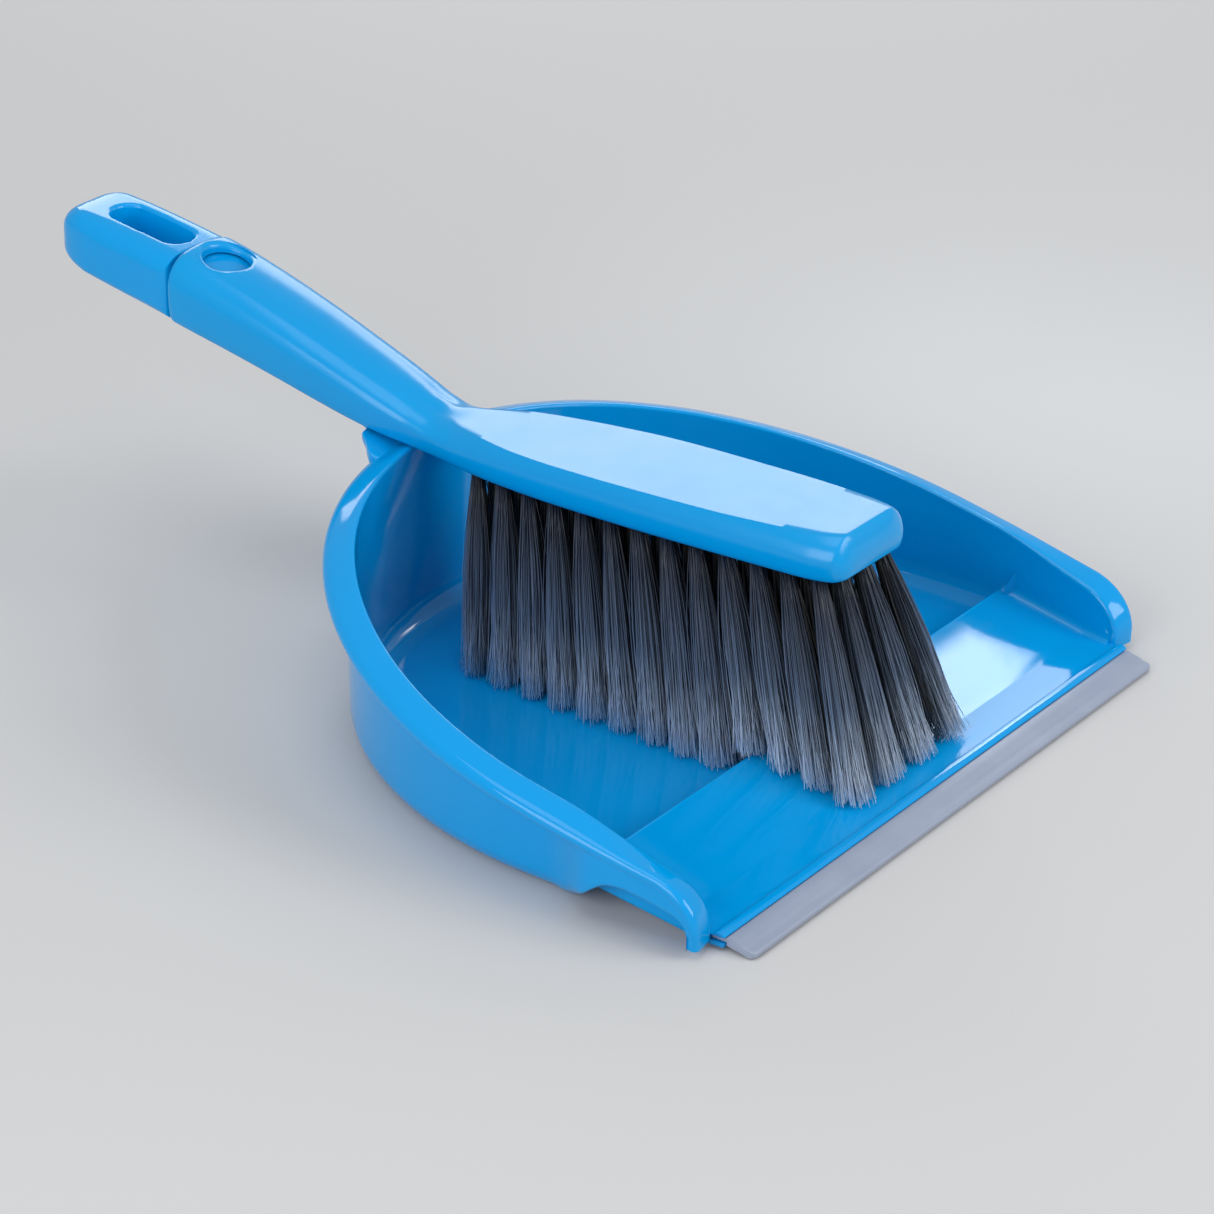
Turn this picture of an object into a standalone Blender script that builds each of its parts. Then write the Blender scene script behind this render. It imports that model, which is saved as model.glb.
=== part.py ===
"""Dust pan and brush set: a moulded pan with a soft front lip, and a hand brush stored on its handle.

Lengths are in millimetres until the mesh is written. y runs back from the lip's front edge, x across
and z up from the ground; the frame's origin is the centre of the whole object's footprint.
"""
import math

import bmesh
import bpy
import numpy as np

# ---- driving sizes, mm ----
OVERALL_LENGTH = 333.0
PAN_HALF_WIDTH = 119.4
PAN_FRONT_HALF_WIDTH = PAN_HALF_WIDTH - 3.1
PAN_LENGTH = 201.8
PAN_WIDEST_Y = 74.0
RIM_FRONT_Z = 19.5
RIM_SLOPE = 0.162
RIM_CURVE = 2.24
RIM_WIDTH = 10.0
RIM_TILT = 2.0
RIM_THICKNESS = 2.4
EAR_FRONT_Y = 11.5
EAR_RADIUS = 16.0
EAR_DROP_Z = 6.0
EAR_LOW_Z = 2.6
EAR_LEAN = 4.6
FLOOR_THICKNESS = 2.0
WALL_OUTER_INSET = 6.6
WALL_THICKNESS = 2.6
WALL_DRAFT = 1.0
POCKET_FILLET = 7.0
POCKET_FRONT_Y = 53.3
POCKET_CORNER = 20.0
RISER_THICKNESS = 2.4
CREST_Z = 9.6
CREASE_Y = 24.0
CREASE_Z = 4.7
STRIP_FRONT_Z = 3.9
FRONT_EDGE_Y = 9.4
FRONT_BEAD_DEPTH = 3.4
FRONT_BEAD_Z = 4.9
LIP_HALF_WIDTH = PAN_FRONT_HALF_WIDTH - 10.0
LIP_THICKNESS = 2.0
LIP_TAB = 4.6
LIP_TAB_THICKNESS = 1.1
FIT_GAP = 0.3
BRUSH_GAP = 0.5
HANDLE_STEP_Y = OVERALL_LENGTH - 49.0
BRUSH_WALL = 2.4
CHANNEL_FRONT_Y = PAN_LENGTH + 4.0
TONGUE_FRONT_Y = CHANNEL_FRONT_Y + 1.7
NECK_Y = PAN_LENGTH - 15.8
BLOCK_FRONT_Y = 34.8
BLOCK_HALF_WIDTH = 21.0
HOLE_Y = HANDLE_STEP_Y - 10.8
HOLE_RADIUS = 8.0
SLOT_Y = HANDLE_STEP_Y + 19.6
SLOT_HALF_LENGTH = 15.0
SLOT_HALF_WIDTH = 6.6
TUFT_COUNT = 13
TUFT_FIRST_Y = BLOCK_FRONT_Y + 9.6
TUFT_LAST_Y = NECK_Y - 20.0
TUFT_HOLE_RADIUS = 2.1
TUFT_HOLE_DEPTH = 6.0
TUFT_TIP_FIRST_Y = BLOCK_FRONT_Y - 12.8
TUFT_TIP_LAST_Y = NECK_Y - 30.5
TUFT_TIP_GAP = 0.5
TUFT_TIP_HALF_LENGTH = min(5.0, (TUFT_TIP_LAST_Y - TUFT_TIP_FIRST_Y) / (TUFT_COUNT - 1) / 2 - TUFT_TIP_GAP)
TIP_CLEARANCE = 0.5
HALF_LENGTH = OVERALL_LENGTH / 2

for old in list(bpy.data.objects):
    bpy.data.objects.remove(old, do_unlink=True)

scene = bpy.context.scene
parts = bpy.data.collections.new("dust_pan_and_brush_set")
cutters = bpy.data.collections.new("cutters")
scene.collection.children.link(parts)
scene.collection.children.link(cutters)
cutters.hide_render = True


def material(name, colour, roughness):
    """A plain surface of one colour, with the plastic's usual refraction."""
    made = bpy.data.materials.new(name)
    made.use_nodes = True
    shader = made.node_tree.nodes["Principled BSDF"]
    shader.inputs["Base Color"].default_value = (*colour, 1.0)
    shader.inputs["Roughness"].default_value = roughness
    shader.inputs["IOR"].default_value = 1.49
    return made


def add(name, rings, surface=None, loop=False):
    """A closed solid through rings of points (mm). With loop the last ring joins the first, else both ends are capped."""
    rings = np.asarray(rings, float)
    count, size, _ = rings.shape
    mesh = bpy.data.meshes.new(name)
    shape = bmesh.new()
    points = (rings - (0.0, HALF_LENGTH, 0.0)) / 1000
    made = [[shape.verts.new(point) for point in ring] for ring in points]
    for index in range(count if loop else count - 1):
        here = made[index]
        there = made[(index + 1) % count]
        for k in range(size):
            shape.faces.new((here[k], here[(k + 1) % size], there[(k + 1) % size], there[k]))
    if not loop:
        shape.faces.new(made[0][::-1])
        shape.faces.new(made[-1])
    bmesh.ops.recalc_face_normals(shape, faces=shape.faces)
    shape.to_mesh(mesh)
    shape.free()
    made_object = bpy.data.objects.new(name, mesh)
    if surface is None:
        made_object.display_type = "WIRE"
        made_object.hide_render = True
        cutters.objects.link(made_object)
    else:
        mesh.materials.append(surface)
        parts.objects.link(made_object)
    return made_object


def combine(target, tool, operation):
    """Joins the tool to the target, or cuts it away."""
    step = target.modifiers.new(tool.name, "BOOLEAN")
    step.operation = operation
    step.solver = "EXACT"
    step.object = tool


def smooth(low, high, value):
    """0 below low, 1 above high, eased between."""
    t = min(max((value - low) / (high - low), 0.0), 1.0)
    return t * t * (3 - 2 * t)


def curve_through(pairs, value):
    """The height or width at a value, eased through a short list of pairs (monotone cubic)."""
    xs = [pair[0] for pair in pairs]
    ys = [pair[1] for pair in pairs]
    if value <= xs[0]:
        return ys[0]
    if value >= xs[-1]:
        return ys[-1]
    slopes = [(ys[i + 1] - ys[i]) / (xs[i + 1] - xs[i]) for i in range(len(xs) - 1)]
    tangents = [slopes[0]]
    for i in range(1, len(slopes)):
        a, b = slopes[i - 1], slopes[i]
        tangents.append(0.0 if a * b <= 0 else 2 * a * b / (a + b))
    tangents.append(slopes[-1])
    i = max(k for k in range(len(xs) - 1) if xs[k] <= value)
    h = xs[i + 1] - xs[i]
    t = (value - xs[i]) / h
    return (
        ys[i] * (1 + 2 * t) * (1 - t) ** 2
        + tangents[i] * h * t * (1 - t) ** 2
        + ys[i + 1] * t * t * (3 - 2 * t)
        + tangents[i + 1] * h * t * t * (t - 1)
    )


# ---- the pan's plan and heights ----
SIDE_CURVE = (PAN_HALF_WIDTH - PAN_FRONT_HALF_WIDTH) / (PAN_WIDEST_Y - EAR_FRONT_Y) ** 2
REAR_RADIUS = PAN_LENGTH - PAN_WIDEST_Y


def half_width(y):
    """Half the rim's width along the sides, in front of its widest point."""
    return PAN_HALF_WIDTH - SIDE_CURVE * (PAN_WIDEST_Y - y) ** 2


def rim_height(y):
    rise = y - EAR_FRONT_Y
    return RIM_FRONT_Z + RIM_SLOPE * rise + RIM_CURVE * (rise / 100) ** 2


def ramp_height(y):
    """The top of the ramp from the front edge to the crest."""
    if y < CREASE_Y:
        return STRIP_FRONT_Z + (CREASE_Z - STRIP_FRONT_Z) * (y - FRONT_EDGE_Y) / (CREASE_Y - FRONT_EDGE_Y)
    crest_y = POCKET_FRONT_Y + RISER_THICKNESS
    return CREASE_Z + (CREST_Z - CREASE_Z) * min(y - CREASE_Y, crest_y - CREASE_Y) / (crest_y - CREASE_Y)


def plan_loop(inset, front_y, corner):
    """The pan's plan drawn in by an inset and closed across the front with rounded corners."""
    half = []
    side_y = front_y + corner
    corner_x = half_width(side_y) - inset - corner
    for t in np.linspace(0, 1, 5):
        half.append((corner_x * t, front_y))
    for angle in np.radians(np.linspace(0, 90, 8))[1:]:
        half.append((corner_x + corner * math.sin(angle), side_y - corner * math.cos(angle)))
    for y in np.linspace(side_y, PAN_WIDEST_Y, 3)[1:]:
        half.append((half_width(y) - inset, y))
    for angle in np.radians(np.linspace(0, 90, 25))[1:]:
        x = (PAN_HALF_WIDTH - inset) * math.cos(angle)
        half.append((x, PAN_WIDEST_Y + (REAR_RADIUS - inset) * math.sin(angle)))
    right = half[:-1] + [(0.0, half[-1][1])]
    left = [(-x, y) for x, y in right[1:-1][::-1]]
    return right + left


def plan_ring(inset, front_y, corner, height):
    """A plan loop at a height, which may be a number or a function of y."""
    return [(x, y, height(y) if callable(height) else height) for x, y in plan_loop(inset, front_y, corner)]


blue = material("blue_polypropylene", (0.005, 0.29, 0.75), 0.28)
grey = material("grey_lip_rubber", (0.30, 0.33, 0.40), 0.5)
brush_blue = material("brush_polypropylene", (0.01, 0.31, 0.76), 0.3)
bristle = material("bristle_fibre", (0.035, 0.05, 0.08), 0.55)

# ---- pan: the deep tray behind the crest ----
wall_bottom_inset = WALL_OUTER_INSET + WALL_DRAFT
outer_rings = []
for angle in np.radians(np.linspace(0, 90, 5)):
    inset = wall_bottom_inset + POCKET_FILLET * (1 - math.sin(angle))
    front = POCKET_FRONT_Y + POCKET_FILLET * (1 - math.sin(angle))
    outer_rings.append(plan_ring(inset, front, POCKET_CORNER, POCKET_FILLET * (1 - math.cos(angle))))
outer_rings.append(plan_ring(WALL_OUTER_INSET, POCKET_FRONT_Y, POCKET_CORNER, lambda y: rim_height(y) + 0.3))
pan = add("pan_body", outer_rings, blue)


# ---- pan: the rim band, turned down at both front ears ----
def rim_path():
    """Points along the rim's outer edge with the inward and upward directions, from one ear round to the other."""
    turn_y = EAR_FRONT_Y + EAR_RADIUS
    turn_z = rim_height(turn_y)
    slope = RIM_SLOPE + 2 * RIM_CURVE * (turn_y - EAR_FRONT_Y) / 10000
    path = []
    for z in (EAR_LOW_Z, (EAR_LOW_Z + EAR_DROP_Z) / 2):
        path.append((half_width(EAR_FRONT_Y), EAR_FRONT_Y, z, (-1, 0, 0), (0, -1, 0)))
    for angle in np.radians(np.linspace(0, 90, 9)):
        y = turn_y - EAR_RADIUS * math.cos(angle)
        z = EAR_DROP_Z + (turn_z - EAR_DROP_Z - 1.2) * math.sin(angle)
        z += 1.2 * (1 - math.cos(angle)) ** 2
        lean = angle - math.atan(slope) * math.sin(angle)
        path.append((half_width(y), y, z, (-1, 0, 0), (0, -math.cos(lean), math.sin(lean))))
    for y in np.linspace(turn_y, PAN_WIDEST_Y, 6)[1:]:
        path.append((half_width(y), y, rim_height(y), (-1, 0, 0), (0, 0, 1)))
    for angle in np.radians(np.linspace(0, 90, 25))[1:]:
        x = PAN_HALF_WIDTH * math.cos(angle)
        y = PAN_WIDEST_Y + REAR_RADIUS * math.sin(angle)
        across, along = math.cos(angle) / PAN_HALF_WIDTH, math.sin(angle) / REAR_RADIUS
        size = math.hypot(across, along)
        path.append((x, y, rim_height(y), (-across / size, -along / size, 0), (0, 0, 1)))
    mirrored = [(-x, y, z, (-n[0], n[1], 0), up) for x, y, z, n, up in path[:-1][::-1]]
    return path + mirrored


RIM_PROFILE = [
    (0.9, -0.2), (2.2, 0.25), (RIM_WIDTH - 1.4, RIM_TILT), (RIM_WIDTH - 0.4, RIM_TILT - 0.2),
    (RIM_WIDTH, RIM_TILT - 0.8), (RIM_WIDTH, RIM_TILT - RIM_THICKNESS - 0.4),
    (RIM_WIDTH - 2.0, RIM_TILT - RIM_THICKNESS - 0.9), (3.0, -2.4), (2.2, -3.6), (0.9, -3.8), (0.2, -3.1),
    (0.0, -1.4), (0.25, -0.7),
]
band_rings = []
for x, y, z, inward, up in rim_path():
    inward, up = np.array(inward), np.array(up)
    lean = EAR_LEAN * (1 - smooth(20.0, 60.0, y)) / RIM_WIDTH
    band_rings.append([np.array((x, y, z)) + a * inward + (b - lean * a) * up for a, b in RIM_PROFILE])
combine(pan, add("rim_band", band_rings), "UNION")

# ---- pan: the ramp, its front bead and the groove for the lip ----
crest_y = POCKET_FRONT_Y + RISER_THICKNESS
ramp_half = PAN_FRONT_HALF_WIDTH - 9.0
ramp_section = [
    (FRONT_EDGE_Y, FRONT_BEAD_Z - 0.7), (FRONT_EDGE_Y + 0.7, FRONT_BEAD_Z),
    (FRONT_EDGE_Y + FRONT_BEAD_DEPTH - 0.8, FRONT_BEAD_Z),
    (FRONT_EDGE_Y + FRONT_BEAD_DEPTH, ramp_height(FRONT_EDGE_Y + FRONT_BEAD_DEPTH)),
    (CREASE_Y, CREASE_Z), (crest_y + 0.6, CREST_Z), (crest_y + 0.6, CREST_Z - 3.4),
    (POCKET_FRONT_Y - 0.6, CREST_Z - 3.6), (CREASE_Y, CREASE_Z - FLOOR_THICKNESS - 0.3),
    (FRONT_EDGE_Y + 8.0, 1.0), (FRONT_EDGE_Y, 1.0),
]
ramp = add("ramp", [[(x, y, z) for y, z in ramp_section] for x in (-ramp_half, ramp_half)])
combine(pan, ramp, "UNION")

# ---- pan: the hollow cheeks beside the ramp, whose skirts run down to the ears ----
SKIRT_EDGE = [
    (EAR_FRONT_Y + 3.5, 5.0), (EAR_FRONT_Y + 4.7, 8.2), (18.0, 10.2), (20.5, 11.2), (23.5, 12.0), (29.5, 13.2),
    (35.8, 14.0), (40.8, 13.4), (45.2, 10.8), (50.0, 7.0), (54.0, 3.6), (60.0, 1.2), (70.0, 0.9),
]


def cheek_top(y):
    """The top of the cheek, just inside the rim band and down the ear."""
    turn_y = EAR_FRONT_Y + EAR_RADIUS
    if y >= turn_y:
        return rim_height(y) - 0.9
    cosine = (turn_y - y) / EAR_RADIUS
    sine = math.sqrt(max(0.0, 1 - cosine * cosine))
    return EAR_DROP_Z + (rim_height(turn_y) - EAR_DROP_Z - 2.1) * sine + 1.2 * (1 - cosine) ** 2


def skirt_inset(y):
    """The skirt's distance inside the rim's edge: it runs into the tray's wall behind the cheek."""
    return 0.8 + (WALL_OUTER_INSET + WALL_THICKNESS / 2 - 0.8) * smooth(45.0, 70.0, y)


SKIRT_THICKNESS = 2.2
INNER_LEG_INSET = WALL_OUTER_INSET + 1.8
cheek_stations = [EAR_FRONT_Y + 3.7, 16.4, 18.5, 21.0, 24.0, 27.5, 32.0, 37.0, 42.0, 46.0]
cheek_stations += [49.0, 52.0, 55.0, 58.0, 61.0, 64.0, 68.0]
for side in (-1, 1):
    rings = []
    for y in cheek_stations:
        skirt_in = skirt_inset(y) + SKIRT_THICKNESS
        outer = half_width(y) - skirt_inset(y)
        void_outer = half_width(y) - skirt_in
        void_inner = half_width(y) - max(INNER_LEG_INSET, skirt_in + 0.3)
        inner = half_width(y) - max(WALL_OUTER_INSET + WALL_THICKNESS + WALL_DRAFT + 1.4, skirt_in + 2.5)
        edge = curve_through(SKIRT_EDGE, y)
        under = min(edge, ramp_height(y) - 0.9) if y < POCKET_FRONT_Y else edge
        top = cheek_top(y)
        void_top = max(top - 2.8, edge + 0.4)
        middle = edge + 0.55 * (top - edge)
        section = [
            (outer - 0.6, edge), (outer, edge + 0.7), (outer, middle), (outer, top), (inner, top),
            (inner, under), (void_inner, under), (void_inner, void_top), (void_outer, void_top),
            (void_outer, edge),
        ]
        rings.append([(side * x, y, z) for x, z in section])
    combine(pan, add(f"cheek_{side:+d}", rings), "UNION")

# ---- handle sizes: the brush's sleeve and the pan's tongue inside it share one centre line ----
REAR_Z = rim_height(PAN_LENGTH)
# Share of the way (0 block front, 1 neck, 2 step), half width, top and bottom above the rear rim, and roundings.
BRUSH_ROWS = [
    (0.0, 13.4, 13.6, 8.2, 1.5, 1.5), (0.005, 15.4, 16.2, 7.2, 2.5, 2.4), (0.012, 16.8, 18.4, 6.8, 3.4, 3.0),
    (0.02, 17.7, 19.6, 6.5, 3.8, 3.4), (0.041, 18.9, 19.4, 6.2, 4.0, 3.6), (0.077, 19.7, 19.0, 5.9, 4.0, 3.8),
    (0.17, 20.3, 18.3, 5.5, 4.0, 4.0), (0.3, 20.8, 17.3, 4.9, 4.0, 4.0), (0.43, BLOCK_HALF_WIDTH, 16.5, 4.2, 4.0, 4.0),
    (0.56, 20.6, 15.6, 3.4, 4.0, 4.0), (0.68, 19.5, 14.5, 2.5, 4.0, 4.0), (0.775, 17.9, 13.7, 1.8, 4.0, 3.8),
    (0.855, 16.0, 13.2, 1.2, 4.0, 3.6), (0.914, 14.3, 12.7, 1.0, 4.2, 3.6), (0.96, 13.0, 12.3, 1.2, 4.4, 3.8),
    (1.0, 12.4, 12.3, 1.6, 4.8, 4.0), (1.06, 12.4, 13.6, 2.2, 5.2, 4.0), (1.143, 13.2, 16.4, 3.2, 5.8, 3.4),
    (1.245, 14.1, 19.8, 4.8, 6.4, 2.4), (1.4, 14.9, 24.8, 8.0, 6.8, 2.0), (1.55, 15.5, 29.6, 11.4, 7.0, 2.0),
    (1.776, 16.1, 36.0, 16.0, 7.0, 2.0), (1.94, 16.4, 39.8, 19.0, 6.8, 2.0), (2.0, 16.3, 40.8, 20.1, 6.4, 2.0),
]


def station_y(share):
    """How far back a share of the way along the brush is."""
    if share < 1:
        return BLOCK_FRONT_Y + share * (NECK_Y - BLOCK_FRONT_Y)
    return NECK_Y + (share - 1) * (HANDLE_STEP_Y - NECK_Y)


BRUSH_STATIONS = [
    (station_y(share), half, REAR_Z + top, REAR_Z + bottom, round_top, round_bottom)
    for share, half, top, bottom, round_top, round_bottom in BRUSH_ROWS
]


def station_value(column, y):
    return curve_through([(row[0], row[column]) for row in BRUSH_STATIONS], y)


def rounded_section(y, half, top, bottom, round_top, round_bottom, bulge=0.0):
    """A ring across the handle or block: flat top and bottom, rounded corners and slightly bulging sides."""
    points = []
    for corner_x, corner_z, radius, start in (
        (half, top, round_top, 90), (half, bottom, round_bottom, 0),
        (-half, bottom, round_bottom, -90), (-half, top, round_top, -180),
    ):
        centre_x = corner_x - math.copysign(radius, corner_x)
        centre_z = corner_z - (radius if start in (90, -180) else -radius)
        for angle in np.radians(start - np.linspace(0, 90, 6)):
            points.append([centre_x + radius * math.cos(angle), y, centre_z + radius * math.sin(angle)])
    middle = (top + bottom) / 2
    reach = (top - bottom) / 2
    for point in points:
        if abs(point[0]) > half - max(round_top, round_bottom):
            share = 1 - min(1.0, abs(point[2] - middle) / reach) ** 2
            point[0] += math.copysign(bulge * share, point[0])
    return points


# ---- pan: neck, tongue and the full-size end of the handle ----
tongue_shrink = BRUSH_WALL + BRUSH_GAP
SLEEVE_ROUNDING = 3.2
tongue_rings = []
for y in np.linspace(TONGUE_FRONT_Y, HANDLE_STEP_Y + 4.0, 8):
    tongue_rings.append(rounded_section(
        y, station_value(1, y) - tongue_shrink, station_value(2, y) - tongue_shrink - 0.2,
        station_value(3, y) + 0.4, 4.0, 1.6,
    ))
combine(pan, add("tongue", tongue_rings), "UNION")
# The neck spreads into the rim below the brush, then narrows and rises inside the brush's sleeve.
# Distance behind the pan's rear, half width, top and bottom above the rear rim.
NECK_ROWS = [
    (-13.3, 15.3, -5.6, -15.4), (-6.3, 18.9, -0.7, -8.6), (-2.3, 20.1, 1.3, -5.1), (0.2, 18.8, 2.1, -2.9),
    (2.7, 17.0, 2.7, -1.1), (5.2, 15.4, 3.2, 0.3), (6.4, 11.1, 4.2, 0.9), (8.6, 10.7, 9.0, 1.9),
    (14.2, 10.8, 14.2, 4.1), (20.2, 11.0, 17.4, 6.5),
]
neck_rings = []
for behind, half, top, bottom in NECK_ROWS:
    y = PAN_LENGTH + behind
    # The neck stays a gap below the brush, then a gap inside its sleeve's rounded corners.
    if y < CHANNEL_FRONT_Y + 3.0:
        ceiling = station_value(3, y) - BRUSH_GAP
    else:
        ceiling = station_value(2, y) - tongue_shrink - SLEEVE_ROUNDING
    if y > CHANNEL_FRONT_Y + 2.0:
        half = min(half, station_value(1, y) - tongue_shrink)
    low = REAR_Z + bottom
    high = max(min(REAR_Z + top, ceiling), low + 2.0)
    neck_rings.append(rounded_section(y, half, high, low, 0.9, 0.9))
combine(pan, add("neck", neck_rings), "UNION")
# distance behind the brush's end, half width, top and bottom above the rear rim, and roundings
END_ROWS = [
    (0.9, 15.2, 39.6, 19.4, 6.0, 3.4), (12.0, 15.2, 41.3, 21.4, 6.0, 3.6), (24.0, 15.1, 42.9, 23.4, 6.0, 3.8),
    (34.0, 14.9, 44.0, 25.2, 6.0, 4.0), (41.0, 14.2, 44.4, 26.8, 6.0, 4.4), (45.5, 12.4, 43.6, 28.8, 5.5, 4.6),
    (47.8, 10.0, 42.2, 30.8, 4.6, 4.0), (OVERALL_LENGTH - HANDLE_STEP_Y, 7.0, 40.2, 32.6, 3.0, 2.6),
]
end_rings = [
    rounded_section(HANDLE_STEP_Y + y, half, REAR_Z + top, REAR_Z + bottom, round_top, round_bottom)
    for y, half, top, bottom, round_top, round_bottom in END_ROWS
]
combine(pan, add("handle_end", end_rings), "UNION")


def oval_cutter(name, y, half_length, half_w, low, high):
    """An upright rounded slot through the handle."""
    ring = []
    radius = half_w
    reach = half_length - radius
    for angle in np.radians(np.linspace(-90, 90, 9)):
        ring.append((radius * math.sin(angle), y + reach + radius * math.cos(angle)))
    for angle in np.radians(np.linspace(90, 270, 9)):
        ring.append((radius * math.sin(angle), y - reach + radius * math.cos(angle)))
    return add(name, [[(x, py, z) for x, py in ring] for z in (low, high)])


combine(pan, oval_cutter("hang_slot", SLOT_Y, SLOT_HALF_LENGTH, SLOT_HALF_WIDTH, REAR_Z + 8.0, REAR_Z + 60.0), "DIFFERENCE")
channel_rings = []
for y in np.linspace(PAN_LENGTH + 20.0, HANDLE_STEP_Y - 6.0, 4):
    half = station_value(1, y) - tongue_shrink - 2.4
    bottom = station_value(3, y)
    top = station_value(2, y) - tongue_shrink - 2.8
    channel_rings.append([(-half, y, bottom - 9), (half, y, bottom - 9), (half - 1, y, top), (1 - half, y, top)])
combine(pan, add("tongue_channel", channel_rings), "DIFFERENCE")

# ---- pan: the space inside the tray and over the ramp ----
inner_top = WALL_OUTER_INSET + WALL_THICKNESS
inner_bottom = inner_top + WALL_DRAFT
INNER_FILLET = POCKET_FILLET + 1.0
inner_front = POCKET_FRONT_Y + RISER_THICKNESS
cavity_rings = []
for angle in np.radians(np.linspace(0, 90, 6)):
    inset = inner_bottom + INNER_FILLET * (1 - math.sin(angle))
    front = inner_front + 1.6 + (INNER_FILLET - 3.0) * (1 - math.sin(angle))
    cavity_rings.append(plan_ring(inset, front, POCKET_CORNER - 3.0, FLOOR_THICKNESS + INNER_FILLET * (1 - math.cos(angle))))
for inset, lift in ((inner_top, 0.5), (inner_top - 0.35, 1.2), (inner_top - 1.0, 1.75), (inner_top - 2.4, 2.3), (inner_top - 2.4, 40.0)):
    cavity_rings.append(plan_ring(inset, inner_front, POCKET_CORNER - 3.0, lambda y, up=lift: rim_height(y) + up))
combine(pan, add("tray_space", cavity_rings), "DIFFERENCE")
AIR_STATIONS = [-12.0, FRONT_EDGE_Y + FRONT_BEAD_DEPTH, 16.0, 20.0, CREASE_Y, 32.0, 40.0, 48.0, inner_front + 0.4, 62.0]
air_rings = []
for y in AIR_STATIONS:
    half = half_width(max(y, EAR_FRONT_Y)) - inner_top - 0.7
    base = (ramp_height(y) if y < POCKET_FRONT_Y else CREST_Z) + 0.02 if y > FRONT_EDGE_Y else FRONT_BEAD_Z + 0.4
    ring = [(-half, y, 70.0), (half, y, 70.0)]
    for angle in np.radians((0, 30, 60, 90)):
        ring.append((half - 0.6 - 3.0 * (1 - math.cos(angle)), y, base + 3.0 * (1 - math.sin(angle))))
    for angle in np.radians((90, 60, 30, 0)):
        ring.append((-half + 0.6 + 3.0 * (1 - math.cos(angle)), y, base + 3.0 * (1 - math.sin(angle))))
    air_rings.append(ring)
combine(pan, add("ramp_space", air_rings), "DIFFERENCE")

# ---- pan: the groove that takes the lip's tab ----
groove_low = 2.2
groove_high = groove_low + LIP_TAB_THICKNESS + 2 * FIT_GAP
groove_back = FRONT_EDGE_Y + LIP_TAB + FIT_GAP
groove_half = LIP_HALF_WIDTH + FIT_GAP
groove = [
    [(x, FRONT_EDGE_Y - 6.0, groove_low), (x, groove_back, groove_low), (x, groove_back, groove_high), (x, FRONT_EDGE_Y - 6.0, groove_high)]
    for x in (-groove_half, groove_half)
]
combine(pan, add("lip_groove", groove), "DIFFERENCE")

# ---- lip: a soft strip whose tab sits in the groove ----
front_face = FRONT_EDGE_Y - FIT_GAP
tab_low = groove_low + FIT_GAP
lip_section = [
    (0.0, 0.9), (0.5, 0.3), (1.6, 0.3), (front_face, 1.5), (front_face, tab_low), (FRONT_EDGE_Y + LIP_TAB, tab_low),
    (FRONT_EDGE_Y + LIP_TAB, tab_low + LIP_TAB_THICKNESS), (front_face, tab_low + LIP_TAB_THICKNESS),
    (front_face, 3.9), (front_face - 0.8, 4.1), (3.2, 2.9), (0.7, 2.4), (0.0, 1.9),
]
lip_rings = []
for x, trim in ((-LIP_HALF_WIDTH, 0.8), (1.0 - LIP_HALF_WIDTH, 0.2), (2.4 - LIP_HALF_WIDTH, 0.0), (LIP_HALF_WIDTH - 2.4, 0.0), (LIP_HALF_WIDTH - 1.0, 0.2), (LIP_HALF_WIDTH, 0.8)):
    lip_rings.append([(x, max(y, trim) if y < 2.0 else y, z) for y, z in lip_section])
add("front_lip", lip_rings, grey)

# ---- brush: block and handle in one moulding ----
brush_rings = []
for index in range(len(BRUSH_STATIONS) - 1):
    start, stop = BRUSH_STATIONS[index][0], BRUSH_STATIONS[index + 1][0]
    pieces = 1 if stop - start < 9.5 else 2
    for part in range(pieces):
        y = start + (stop - start) * part / pieces
        values = [station_value(column, y) for column in range(1, 6)]
        brush_rings.append(rounded_section(y, *values, bulge=0.7))
brush_rings.append(rounded_section(*BRUSH_STATIONS[-1], bulge=0.7))
brush = add("brush_body", brush_rings, brush_blue)
sleeve_rings = []
for y in np.linspace(CHANNEL_FRONT_Y, HANDLE_STEP_Y + 6.0, 8):
    half = station_value(1, y) - BRUSH_WALL
    top = station_value(2, y) - BRUSH_WALL
    bottom = station_value(3, y) - 12.0
    section = rounded_section(y, half, top, bottom, 4.2, 1.0)
    sleeve_rings.append(section)
combine(brush, add("sleeve_channel", sleeve_rings), "DIFFERENCE")
hole_low = station_value(2, HOLE_Y) - BRUSH_WALL - 6.0
combine(brush, oval_cutter("finger_hole", HOLE_Y, HOLE_RADIUS, HOLE_RADIUS, hole_low, REAR_Z + 60.0), "DIFFERENCE")

# ---- brush: blind holes and the tufts in them, four rows ----
ROWS = (-0.76, -0.26, 0.26, 0.76)
TIP_SPREAD = {-0.76: -25.0, -0.26: -8.4, 0.26: 8.4, 0.76: 25.0}
SIDES = 8


def tuft_ring(centre, radius_x, radius_y):
    turns = np.radians(np.arange(SIDES) * 360 / SIDES + 22.5)
    return [(centre[0] + radius_x * math.cos(t), centre[1] + radius_y * math.sin(t), centre[2]) for t in turns]


def floor_height(y):
    """What the bristle tips rest over: the tray's floor or the ramp."""
    return FLOOR_THICKNESS if y > POCKET_FRONT_Y + RISER_THICKNESS + 9.0 else ramp_height(min(y, POCKET_FRONT_Y)) + 0.9


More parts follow.
